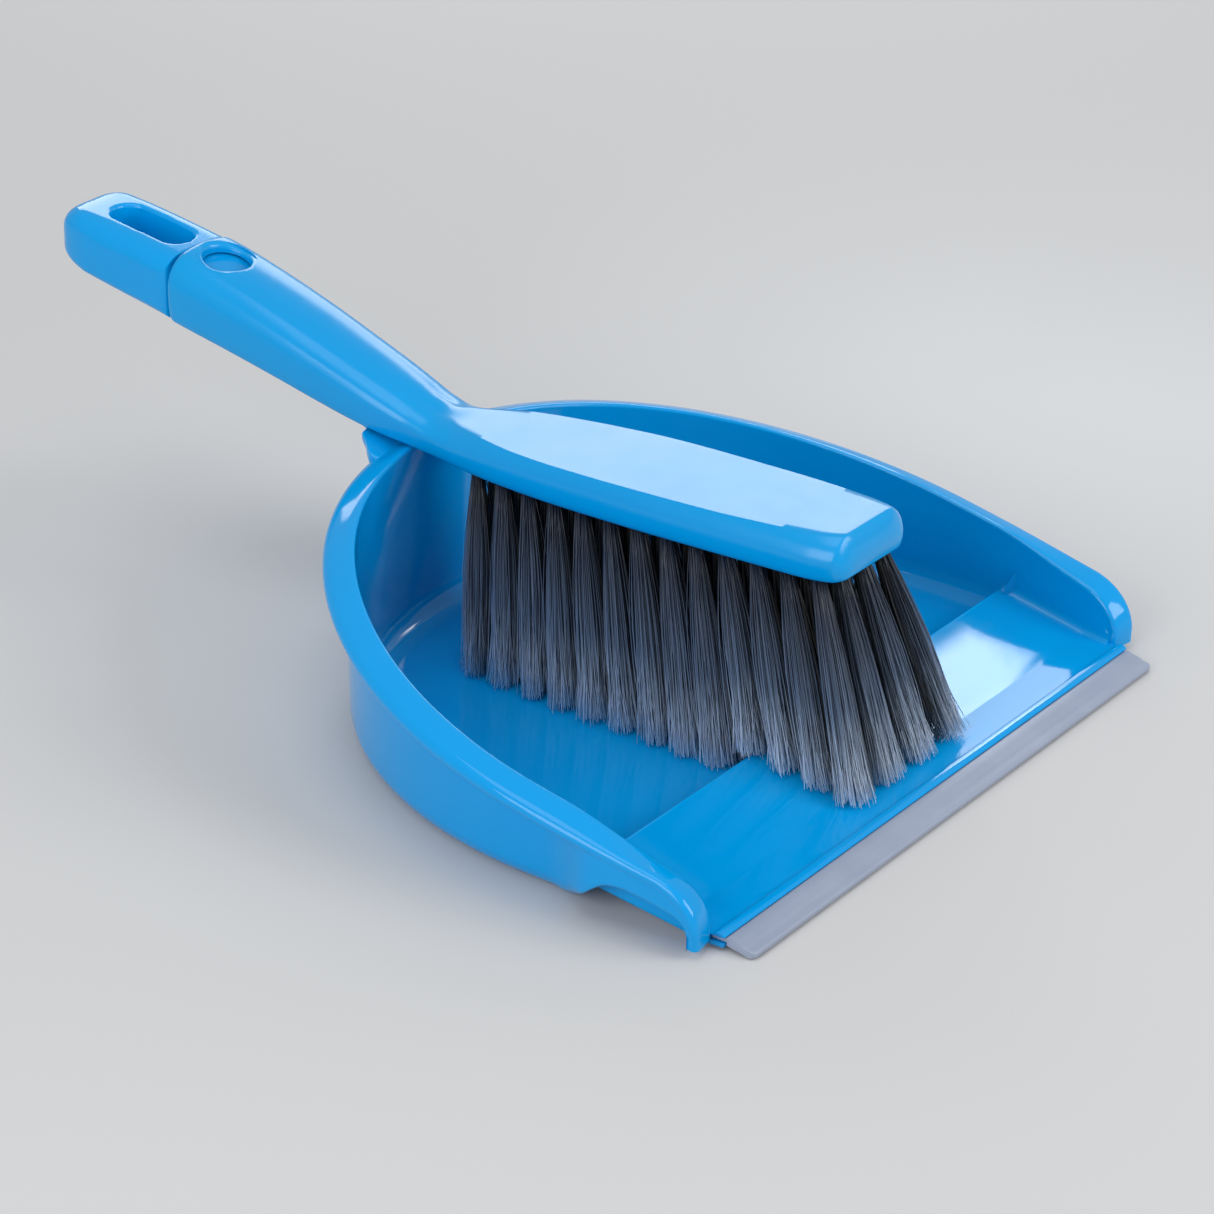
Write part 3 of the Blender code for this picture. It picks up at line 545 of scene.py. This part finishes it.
def rounded_sections(y, half, top, bottom, round_top, round_bottom):
    """Sections across a handle: a flat top and bottom joined to straight sides by quarter turns."""
    angle = np.radians(np.linspace(0, 90, 9))
    sizes = (y, half, top, bottom, round_top, round_bottom)
    y, half, top, bottom, round_top, round_bottom = (
        np.broadcast_to(size, np.shape(y))[:, None] for size in sizes
    )
    corner_x = [
        half - round_top + round_top * np.sin(angle), half - round_bottom + round_bottom * np.cos(angle),
    ]
    corner_z = [
        top - round_top + round_top * np.cos(angle), bottom + round_bottom - round_bottom * np.sin(angle),
    ]
    mid = np.linspace(0.15, 0.85, 6)
    side_x = mix(corner_x[0][:, -1:], corner_x[1][:, :1], mid)
    side_z = mix(corner_z[0][:, -1:], corner_z[1][:, :1], mid)
    x = np.hstack([corner_x[0], side_x, corner_x[1]])
    z = np.hstack([corner_z[0], side_z, corner_z[1]])
    flat_top = np.linspace(-0.8, 0.8, 7)[None] * x[:, :1]
    flat_bottom = np.linspace(0.8, -0.8, 7)[None] * x[:, -1:]
    ring_x = np.hstack([flat_top, x, flat_bottom, -x[:, ::-1]])
    ring_z = np.hstack([top + 0 * flat_top, z, bottom + 0 * flat_bottom, z[:, ::-1]])
    return np.stack([ring_x, np.broadcast_to(y, ring_x.shape), ring_z], 2)


def handle_neck():
    """Rounded sections that start wide inside the rim band, narrow below the brush and rise into the
    tongue."""
    y = np.concatenate([np.linspace(-8.4, 5.6, 36), np.linspace(5.9, 7.0, 6), np.linspace(7.6, 20.2, 18)])
    half, top, bottom = (eased(NECK_ROWS[:, [0, column]], y) for column in (1, 2, 3))
    low = np.minimum(2.4, (top - bottom) / 2.4)
    return rounded_sections(PAN_LENGTH + y, half, REAR_Z + top, REAR_Z + bottom, 0.7 + 0 * y, low)


def handle_tongue():
    """The brush's handle drawn in by its wall and gap."""
    y = np.linspace(TONGUE_FRONT_Y, HANDLE_STEP_Y + 4, 50)
    shrink = SLEEVE_WALL + SLEEVE_GAP
    top = brush_size(2, y) - shrink - TONGUE_EXTRA_GAP
    bottom = brush_size(3, y) + TONGUE_EXTRA_GAP
    return rounded_sections(y, brush_size(1, y) - shrink, top, bottom, *TONGUE_ROUNDINGS)


def handle_end():
    """A ring about the slot: at each turn the section runs from the slot's edge over the top to the outline,
    down the side, back under and up the slot's wall. Every corner of the section is rounded."""
    turn = np.radians(np.linspace(0, 360, 161))[:-1]
    front, back = HANDLE_STEP_Y + 0.9, cad_length
    straight = SLOT_HALF_LENGTH - SLOT_HALF_WIDTH
    slot = np.stack([
        SLOT_HALF_WIDTH * np.sin(turn),
        SLOT_Y + SLOT_HALF_WIDTH * np.cos(turn) + np.clip(np.cos(turn) * 4, -1, 1) * straight,
    ], 1)
    along, across = np.cos(turn), np.sin(turn)
    power = np.where(along > 0, 2 / END_REAR_EXPONENT, 2 / END_FRONT_EXPONENT)
    reach = np.where(along > 0, back - SLOT_Y, SLOT_Y - front)
    outline = np.stack([
        END_HALF_WIDTH * np.sign(across) * np.abs(across) ** power,
        SLOT_Y + np.sign(along) * reach * np.abs(along) ** power,
    ], 1)
    rear = ease_step(-0.2, 0.5, along)[:, None]
    quarter = np.radians(np.linspace(0, 90, 9))[None]
    gap = np.linalg.norm(outline - slot, axis=1)[:, None]
    direction = (outline - slot) / gap
    halves = []
    for column, edge, corner, side_width, side_height in END_ROUNDINGS:
        wide = np.minimum(mix(END_FRONT_ROUNDING, corner, rear), gap - edge - 0.4)
        tall = mix(END_FRONT_ROUNDING, corner, rear)
        into = np.hstack([
            edge * (1 - np.cos(quarter)) + 0 * gap,
            edge + (gap - edge - wide) * np.linspace(0.06, 0.96, END_TOP_STEPS)[None],
            gap - wide * (1 - np.sin(quarter)),
        ])
        drop = np.hstack([
            edge * (1 - np.sin(quarter)) + 0 * gap,
            np.zeros((len(turn), END_TOP_STEPS)),
            tall * (1 - np.cos(quarter)),
        ])
        over = slot[:, None] + direction[:, None] * into[..., None]
        beside = np.clip((np.abs(over[..., 0]) - END_HALF_WIDTH + side_width) / side_width, 0, 1)
        drop = np.maximum(drop, side_height * (1 - np.sqrt(1 - beside ** 2)))
        level = REAR_Z + eased(
            np.stack([HANDLE_STEP_Y + END_ROWS[:, 0], END_ROWS[:, column]], 1), over[..., 1],
        )
        height = level - drop if column == 1 else level + drop
        halves.append(np.concatenate([over, height[..., None]], 2))
    return np.concatenate([halves[0], halves[1][:, ::-1]], 1)


finish_piece(
    "pan_handle",
    grid_mesh(
        "pan_handle",
        [
            (handle_neck(), False, True, True), (handle_tongue(), False, True, True),
            (handle_end(), True, True, False),
        ],
    ),
    pan_plastic, "pan", ["pan_body"],
)

# ---- Lip ----
# A soft strip of grey thermoplastic rubber, extruded and pushed into the groove of the pan's front edge. It
# bends to the ground and shows a fold where its thick front edge begins.
LIP_HALF_WIDTH = PAN_FRONT_HALF_WIDTH - 10.0
LIP_END_RADIUS = 1.4
LIP_ROUNDED_DEPTH = 4


def soft_rubber():
    """Thermoplastic rubber: satin, slightly mottled grey, with fine extrusion lines along its length. IOR
    1.5."""
    made = bpy.data.materials.new("extruded_thermoplastic_rubber")
    made.use_nodes = True
    tree = made.node_tree
    shader = tree.nodes["Principled BSDF"]
    shader.inputs["IOR"].default_value = 1.5
    place = add_node(tree, "ShaderNodeTexCoord").outputs["Object"]
    stretched = add_node(tree, "ShaderNodeMapping", {"Scale": (6.0, 900.0, 900.0)}, {"Vector": place})
    lines = add_node(
        tree, "ShaderNodeTexNoise", {"Scale": 1.0, "Detail": 3.0}, {"Vector": stretched.outputs["Vector"]},
    )
    mottle = add_node(tree, "ShaderNodeTexNoise", {"Scale": 60.0, "Detail": 3.0}, {"Vector": place})
    tint = add_node(
        tree, "ShaderNodeMix", {"data_type": "RGBA", 6: linear("#8791A6"), 7: linear("#9AA3B6")},
        {0: mottle.outputs["Fac"]},
    )
    tree.links.new(tint.outputs[2], shader.inputs["Base Color"])
    gloss = add_node(
        tree, "ShaderNodeMapRange", {"To Min": 0.34, "To Max": 0.5}, {"Value": lines.outputs["Fac"]},
    )
    tree.links.new(gloss.outputs["Result"], shader.inputs["Roughness"])
    bump = add_node(
        tree, "ShaderNodeBump", {"Strength": 0.15, "Distance": 0.0002}, {"Height": lines.outputs["Fac"]},
    )
    tree.links.new(bump.outputs["Normal"], shader.inputs["Normal"])
    return made


def lip_strip():
    """A closed section in y and z carried across x, with its outer edge drawn back at both ends to round
    them."""
    section = np.array([
        (0.0, 1.7), (0.0, 1.0), (0.15, 0.6), (0.5, 0.32), (1.6, 0.3), (5.0, 0.85), (9.1, 1.5), (9.1, 2.5),
        (14.0, 2.5),
        (14.0, 3.6), (9.1, 3.6), (9.1, 3.9), (8.3, 4.1), (6.0, 3.55), (3.9, 3.05), (3.4, 2.92), (3.0, 2.66),
        (2.4, 2.5),
        (0.9, 2.35), (0.3, 2.2), (0.05, 1.95),
    ])
    end = LIP_HALF_WIDTH - np.array([0, 0.06, 0.2, 0.4, 0.7, 1.0, LIP_END_RADIUS])
    across = np.concatenate([-end, np.linspace(-1, 1, 30)[1:-1] * end[-1], end[::-1]])
    away = np.clip(LIP_END_RADIUS - (LIP_HALF_WIDTH - np.abs(across)), 0, LIP_END_RADIUS)
    back = LIP_END_RADIUS - np.sqrt(LIP_END_RADIUS ** 2 - away ** 2)
    nearness = np.clip(1 - section[:, 0] / LIP_ROUNDED_DEPTH, 0, 1)
    y = section[None, :, 0] + back[:, None] * nearness[None]
    x = np.broadcast_to(across[:, None], y.shape)
    return np.stack([x, y, np.broadcast_to(section[None, :, 1], y.shape)], 2)


finish_piece(
    "front_lip_strip",
    grid_mesh("front_lip_strip", [(lip_strip(), False, True, True)]),
    soft_rubber(), "pan", ["front_lip"], sharp=50,
)

# ---- Brush: block and handle ----
# One injection moulding in the same blue polypropylene: a solid-looking block with a flat top, a waisted
# neck and a hollow handle, open below, that drops over the pan's tongue. A round hole near its end hangs the
# brush alone.
HOLE_Y = HANDLE_STEP_Y - 10.8
HOLE_RADIUS = 8.0
HOLE_TIGHTER = 0.6
# Flare of the hole's cutter and its height from the handle's top surface.
HOLE_PROFILE = (
    (0.0, -9.0), (0.0, -1.7), (0.08, -1.2), (0.28, -0.75), (0.6, -0.35), (1.1, -0.08), (2.0, 0.25),
    (2.0, 14.0),
)
CHANNEL_FRONT_Y = PAN_LENGTH + 4.0
SLEEVE_OPEN_DEPTH = 12
SLEEVE_TOP_EXTRA = 0.2
SLEEVE_ROUNDINGS = (5.2, 1.0)
END_TUCK = 2.4
END_TUCK_SHARE = 0.55
# For the block and for the handle: the widest line's share of the height, the angle where the top's edge
# begins, the turn in to the underside and the crown of the top.
WIDEST_SHARE = (0.40, 0.52)
EDGE_DEGREES = (42.0, 6.0)
UNDERSIDE_TURN = (2.6, 1.6)
CROWN = (0.04, 0.7)


def brush_shell():
    """Sections along the block and handle. Each has a slightly crowned top, a crisp edge that fades out
    behind the block, an elliptic shoulder out to the widest line, and an elliptic turn in to a flat
    underside."""
    last = HANDLE_STEP_Y - END_TUCK * (1 - np.sin(np.radians(np.linspace(0, 90, 8))))
    y = np.concatenate([
        BLOCK_FRONT_Y + 3.0 * np.linspace(0, 1, 9), np.linspace(38.4, 48, 12),
        np.linspace(48.8, HANDLE_STEP_Y - 2.8, 220), last,
    ])
    half, top, bottom, shoulder = (brush_size(column, y)[:, None] for column in (1, 2, 3, 4))
    past = np.clip(y - HANDLE_STEP_Y + END_TUCK, 0, END_TUCK)
    tuck = (END_TUCK - np.sqrt(np.clip(END_TUCK ** 2 - past ** 2, 0, None)))[:, None] * END_TUCK_SHARE
    half, top, bottom = half - tuck, top - tuck, bottom + 0.5 * tuck
    handle = ease_step(NECK_Y - 12, NECK_Y + 6, y)[:, None]
    flat = half - shoulder
    block_widest, handle_widest = (bottom + share * (top - bottom) for share in WIDEST_SHARE)
    widest = mix(block_widest, handle_widest, handle)
    begin = np.radians(mix(*EDGE_DEGREES, handle))
    sweep = begin + (np.pi / 2 - begin) * np.linspace(0, 1, 14)[None]
    shoulder_x = half - shoulder / (1 - np.sin(begin)) * (1 - np.sin(sweep))
    shoulder_z = widest + (top - widest) / np.cos(begin) * np.cos(sweep)
    turn = np.radians(np.linspace(0, 90, 11))[None, 1:]
    under = mix(*UNDERSIDE_TURN, handle)
    under_x = half - under * (1 - np.cos(turn) ** 0.8)
    under_z = widest - (widest - bottom) * np.sin(turn) ** 0.9
    crown = mix(*CROWN, handle)
    across = np.linspace(-1, 1, 13)[None, 1:-1]
    top_x = across * flat
    top_z = top + crown * (1 - across ** 2)
    below_x = -across * (half - under) * 0.95
    side_x = np.hstack([shoulder_x, under_x])
    side_z = np.hstack([shoulder_z, under_z])
    ring_x = np.hstack([top_x, side_x, below_x, -side_x[:, ::-1]])
    ring_z = np.hstack([top_z, side_z, bottom + 0 * below_x, side_z[:, ::-1]])
    return np.stack([ring_x, np.broadcast_to(y[:, None], ring_x.shape), ring_z], 2)


def cut(piece, name, grids):
    """Takes the closed shape of these grids out of the piece."""
    tool = bpy.data.objects.new(name, grid_mesh(name, grids))
    bpy.context.scene.collection.objects.link(tool)
    change = piece.modifiers.new(name, "BOOLEAN")
    change.operation = "DIFFERENCE"
    change.solver = "EXACT"
    change.object = tool
    bpy.context.view_layer.update()
    result = bpy.data.meshes.new_from_object(piece.evaluated_get(bpy.context.evaluated_depsgraph_get()))
    piece.modifiers.clear()
    piece.data = result
    bpy.data.objects.remove(tool)
    result.set_sharp_from_angle(angle=math.radians(KEPT_EDGE_DEGREES))


def sleeve_space():
    """The space for the tongue: the handle's sections drawn in by its wall and carried on below."""
    y = np.linspace(CHANNEL_FRONT_Y, HANDLE_STEP_Y + 6, 40)
    top = brush_size(2, y) - SLEEVE_WALL - SLEEVE_TOP_EXTRA
    bottom = brush_size(3, y) - SLEEVE_OPEN_DEPTH
    return rounded_sections(y, brush_size(1, y) - SLEEVE_WALL, top, bottom, *SLEEVE_ROUNDINGS)


def round_cutter():
    """A circle carried upwards, flared by a quarter turn where it passes the handle's top surface."""
    turn = np.radians(np.linspace(0, 360, 73))[:-1]
    rings = []
    for flare, lift in HOLE_PROFILE:
        radius = HOLE_RADIUS - HOLE_TIGHTER + flare
        x = radius * np.sin(turn)
        y = HOLE_Y + radius * np.cos(turn)
        near = np.abs(lift) < 8
        level = np.where(near, brush_size(2, y), REAR_Z + 40.0)
        fall = 0.045 * np.clip(np.abs(x) - 3, 0, None) ** 2 * near
        rings.append(np.stack([x, y, level + lift + 0.5 - fall], 1))
    return np.array(rings)


brush_plastic = moulded_polypropylene("moulded_polypropylene_brush", "#0098DA", "#0090D2", 0.2)
brush_piece = finish_piece(
    "brush_block_and_handle",
    grid_mesh("brush_block_and_handle", [(brush_shell(), False, True, True)]),
    brush_plastic, "brush", ["brush_body"],
)
cut(brush_piece, "sleeve_space", [(sleeve_space(), False, True, True)])
cut(brush_piece, "hanging_hole", [(round_cutter(), False, True, True)])

# ---- Brush: tufts ----
# Crimped PET fibres, folded in half and stapled into the block's holes, four rows of thirteen. Each fibre is
# a thin three-sided strand. The tips are split by the flagging machine, so they are lighter, ragged and
# splayed.
TUFT_COUNT = 13
ROWS = (-0.76, -0.26, 0.26, 0.76)
TIP_SPREAD = (-25.0, -8.4, 8.4, 25.0)
FIBRES = 330
FIBRE_RADIUS = 0.17
FIBRE_STEPS = 7
FIBRE_SEED = 7
ROOT_ENDS = (BLOCK_FRONT_Y + 9.6, NECK_Y - 20.0)
TIP_ENDS = (BLOCK_FRONT_Y - 12.8, NECK_Y - 30.5)
ROOT_RADIUS = 1.8
ROOT_DEPTH = 1.5
TIP_HALF = (7.3, 5.0)
WIDEST_HALF = 21.0
BOW = 0.9
SPLAY = 0.8
CRIMP = 0.22
CRIMP_RADIANS = 26
random = np.random.default_rng(FIBRE_SEED)


def floor_under(y):
    return np.where(y > RISER_Y + 5, FLOOR_TOP, ramp_height(np.minimum(y, POCKET_FRONT_Y)) + 0.3)


def tuft_fibres(root, tip, tip_half, outward):
    """Strands from a small disc at the root to an oval at the tip. Each follows a straight line plus a
    slight bow and a crimp wave, and its three sides thin towards a ragged end. Each strand gets a painted
    shade that stands in for the shade inside the brush: lightest on the tuft's outward side and darker
    inward, with a random spread of tone. Returns points, shares and shades."""
    count = FIBRES
    radius, angle = np.sqrt(random.random(count)), random.random(count) * 2 * np.pi
    disc = np.stack([radius * np.cos(angle), radius * np.sin(angle)], 1)
    start = root[None] + np.hstack([disc * ROOT_RADIUS, np.full((count, 1), ROOT_DEPTH)])
    scatter = disc * tip_half * (0.92, 0.86) + random.normal(0, 0.5, (count, 2))
    end = tip[None] + np.hstack([scatter, np.zeros((count, 1))])
    end[:, 2] = floor_under(end[:, 1]) + 0.35 + np.abs(random.normal(0, 1.5, count))
    share = np.linspace(0, 1, FIBRE_STEPS)[None, :, None]
    line = mix(start[:, None], end[:, None], share)
    bow = random.normal(0, BOW, (count, 1, 2)) * np.sin(np.pi * share)
    splay = random.normal(0, SPLAY, (count, 1, 2)) * share ** 6
    phase = random.random((count, 1, 1)) * 6.28
    wave = CRIMP * np.sin(share * CRIMP_RADIANS + phase)
    line[..., :2] += bow + splay + wave * np.array([1.0, 0.6])
    width = FIBRE_RADIUS * (1.0 - 0.45 * share[..., 0] ** 4) * (0.8 + 0.5 * random.random((count, 1)))
    spin = random.random((count, 1)) * 2.1
    sides = []
    for side in range(3):
        turn = spin + side * 2 * np.pi / 3
        sides.append(line + np.stack([np.cos(turn) * width, np.sin(turn) * width, 0 * width], 2))
    points = np.stack(sides, 2)
    # Painted shade: strands on the side facing into the brush, and all strands of the inner rows, are
    # darkened where the brush's own shade falls.
    facing = np.clip(0.5 + 0.75 * disc @ outward, 0, 1) * np.linalg.norm(outward)
    shade = np.clip(0.02 + 0.7 * facing + 0.4 * (random.random(count) - 0.25), 0, 1)
    each_share = np.broadcast_to(share[..., 0], (count, FIBRE_STEPS))
    each_shade = np.broadcast_to(shade[:, None], (count, FIBRE_STEPS))
    return points, each_share, each_shade


def fibre_material():
    """Dyed PET fibre: slate along the length and pale grey at the split tips, with painted shade that makes
    it near-black blue towards the roots."""
    made = bpy.data.materials.new("crimped_pet_fibre")
    made.use_nodes = True
    tree = made.node_tree
    shader = tree.nodes["Principled BSDF"]
    shader.inputs["IOR"].default_value = 1.57
    shader.inputs["Roughness"].default_value = 0.42
    along = add_node(tree, "ShaderNodeAttribute", {"attribute_name": "along"})
    shade = add_node(tree, "ShaderNodeAttribute", {"attribute_name": "shade"})
    # Colour along the fibre: the near-black end at the roots is painted shade; the pale end is the split
    # tips' own colour.
    length = add_node(tree, "ShaderNodeValToRGB", None, {"Fac": along.outputs["Fac"]})
    ramp = length.color_ramp
    ramp.elements[0].color = linear("#0B121D")
    ramp.elements[1].color = linear("#C9CED6")
    for place, colour in ((0.22, "#1F2B3C"), (0.6, "#46556A"), (0.84, "#7A8798")):
        ramp.elements.new(place).color = linear(colour)
    # The painted shade scales each strand's colour, from near black deep in the brush to nearly twice as
    # light for strands facing out.
    each = add_node(
        tree, "ShaderNodeMapRange", {"To Min": 0.03, "To Max": 1.9}, {"Value": shade.outputs["Fac"]},
    )
    tint = add_node(
        tree, "ShaderNodeVectorMath", {"operation": "MULTIPLY"},
        {0: length.outputs["Color"], 1: each.outputs["Result"]},
    )
    tree.links.new(tint.outputs["Vector"], shader.inputs["Base Color"])
    return made


fibre_plastic = fibre_material()
for row_index, (row, spread) in enumerate(zip(ROWS, TIP_SPREAD)):
    all_points, all_along, all_shade = [], [], []
    for index in range(TUFT_COUNT):
        share = index / (TUFT_COUNT - 1)
        root_y = mix(*ROOT_ENDS, share)
        tip_y = mix(*TIP_ENDS, share)
        half = brush_size(1, np.array([root_y]))[0]
        root = np.array([row * half, root_y, brush_size(3, np.array([root_y]))[0]])
        tip = np.array([spread * (0.8 + 0.2 * half / WIDEST_HALF), tip_y, 0.0])
        tip_half = np.array([TIP_HALF[0] * (0.75 + 0.25 * half / WIDEST_HALF), TIP_HALF[1]])
        # How far each tuft faces out of the brush, for the painted shade: the inner rows barely, the outer
        # rows and end tufts fully.
        outward = np.array([np.sign(row) * (1.0 if abs(row) > 0.5 else 0.12), 0.0])
        if index == 0:
            outward[1] = -0.9
        if index == TUFT_COUNT - 1:
            outward[1] = 0.9
        outward = outward / max(1.0, np.linalg.norm(outward))
        points, along, shade = tuft_fibres(root, tip, tip_half, outward)
        all_points.append(points)
        all_along.append(along)
        all_shade.append(shade)
    points = np.concatenate(all_points)
    count = len(points)
    number = np.arange(count * FIBRE_STEPS * 3).reshape(count, FIBRE_STEPS, 3)
    turned = np.roll(number, -1, axis=2)
    quads = np.stack([number[:, :-1], number[:, 1:], turned[:, 1:], turned[:, :-1]], -1).reshape(-1, 4)
    ends = np.concatenate([number[:, 0], number[:, -1, ::-1]])
    made = bpy.data.meshes.new(f"tuft_row_{row_index + 1}")
    places = (points.reshape(-1, 3) - (0, cad_length / 2, 0)) / MM_PER_M
    made.from_pydata(places.tolist(), [], quads.tolist() + ends.tolist())
    for key, values in (("along", all_along), ("shade", all_shade)):
        layer = made.attributes.new(key, "FLOAT", "POINT")
        layer.data.foreach_set("value", np.repeat(np.concatenate(values).reshape(-1), 3).astype(np.float32))
    nodes = [f"tuft_{row_index + 1}_{index + 1:02d}" for index in range(TUFT_COUNT)]
    finish_piece(f"tuft_row_{row_index + 1}", made, fibre_plastic, "brush", nodes, sharp=180)

# ---- Floor, light and camera ----
# A plain pale studio: a seamless floor and four softboxes, which are overhead, left, front and low behind.
# The one behind gives the pale sheen on the block's top and the far rim. A window-shaped panel shows in the
# ramp.
FLOOR_HALF = 6.0
FLOOR_DROP = 0.0002
floor_mesh = bpy.data.meshes.new("studio_floor")
floor_corners = [(x * FLOOR_HALF, y * FLOOR_HALF, 0) for x, y in ((-1, -1), (1, -1), (1, 1), (-1, 1))]
floor_mesh.from_pydata(floor_corners, [], [(0, 1, 2, 3)])
studio_floor = bpy.data.objects.new("studio_floor", floor_mesh)
paper = bpy.data.materials.new("pale_paper")
paper.use_nodes = True
paper_inputs = paper.node_tree.nodes["Principled BSDF"].inputs
paper_inputs["Base Color"].default_value = linear("#C6C6C6")
paper_inputs["Roughness"].default_value = 0.9
paper_inputs["Specular IOR Level"].default_value = 0.0
floor_mesh.materials.append(paper)
bpy.context.scene.collection.objects.link(studio_floor)
studio_floor.location.z = -FLOOR_DROP

world = bpy.data.worlds.new("studio")
world.use_nodes = True
sky = world.node_tree.nodes["Background"].inputs
sky["Color"].default_value = linear("#E4E8EC")
sky["Strength"].default_value = 0.55
bpy.context.scene.world = world
bpy.context.scene.view_settings.view_transform = "Standard"

SOFTBOX_TARGET = (0.0, -0.02, 0.05)
# Name, direction from the target, distance, width, height and power.
SOFTBOXES = (
    ("overhead_softbox", (-0.2, -0.05, 1.0), 1.4, 0.9, 0.9, 4.2),
    ("left_softbox", (-0.95, -0.05, 0.42), 1.5, 1.1, 0.9, 12.0),
    ("front_softbox", (0.35, -1.0, 0.55), 1.5, 0.9, 0.7, 11.0),
    ("rear_softbox", (0.728, 0.561, 0.393), 1.3, 0.95, 0.42, 4.2),
)


def softbox(name, direction, distance, width, height, power):
    """A rectangular area light at a distance along a direction from SOFTBOX_TARGET, facing it."""
    data = bpy.data.lights.new(name, "AREA")
    data.shape = "RECTANGLE"
    data.size = width
    data.size_y = height
    data.energy = power
    lamp = bpy.data.objects.new(name, data)
    away = Vector(direction).normalized()
    lamp.location = Vector(SOFTBOX_TARGET) + away * distance
    lamp.rotation_mode = "QUATERNION"
    lamp.rotation_quaternion = away.to_track_quat("Z", "Y")
    bpy.context.scene.collection.objects.link(lamp)


for settings in SOFTBOXES:
    softbox(*settings)

# The window's corners mirror a patch of the ramp, so that its reflection fills that patch for the camera.
RAMP_PATCH = ((24.0, 21.8), (83.5, 21.8), (80.5, 49.2), (24.0, 49.2))
WINDOW_DISTANCE = 0.30
CAMERA_AZIMUTH = -54.6
CAMERA_ELEVATION = 26.67
CAMERA_DISTANCE = 1.1951
CAMERA_TARGET = (-0.01202, -0.04853, 0.03065)
azimuth, elevation = math.radians(CAMERA_AZIMUTH), math.radians(CAMERA_ELEVATION)
back = Vector((
    math.sin(azimuth) * math.cos(elevation), -math.cos(azimuth) * math.cos(elevation), math.sin(elevation),
))
camera_place = Vector(CAMERA_TARGET) + back * CAMERA_DISTANCE
ramp_slope = (CREST_Z - CREASE_Z) / (RISER_Y - CREASE_Y)
ramp_normal = Vector((0, -ramp_slope, 1)).normalized()
corners = []
for x, y in RAMP_PATCH:
    spot = Vector((x, y - cad_length / 2, ramp_height(y))) / MM_PER_M
    seen = (spot - camera_place).normalized()
    corners.append(spot + (seen - 2 * seen.dot(ramp_normal) * ramp_normal) * WINDOW_DISTANCE)
window_mesh = bpy.data.meshes.new("ramp_window")
window_mesh.from_pydata(corners, [], [(0, 1, 2, 3)])
window_glow = bpy.data.materials.new("window_glow")
window_glow.use_nodes = True
glow_tree = window_glow.node_tree
glow_tree.nodes.remove(glow_tree.nodes["Principled BSDF"])
glow = add_node(glow_tree, "ShaderNodeEmission", {"Color": linear("#E9F3FF"), "Strength": 10.0})
glow_tree.links.new(glow.outputs["Emission"], glow_tree.nodes["Material Output"].inputs["Surface"])
window_mesh.materials.append(window_glow)
ramp_window = bpy.data.objects.new("ramp_window", window_mesh)
bpy.context.scene.collection.objects.link(ramp_window)
ramp_window.visible_camera = False

CAMERA_ROLL = 1.56
camera_data = bpy.data.cameras.new("camera")
camera_data.lens = 121.2
camera_data.sensor_width = 36.0
camera = bpy.data.objects.new("camera", camera_data)
bpy.context.scene.collection.objects.link(camera)
camera.location = camera_place
roll = Matrix.Rotation(math.radians(CAMERA_ROLL), 4, "Z")
camera.rotation_mode = "QUATERNION"
camera.rotation_quaternion = back.to_track_quat("Z", "Y") @ roll.to_quaternion()
bpy.context.scene.camera = camera
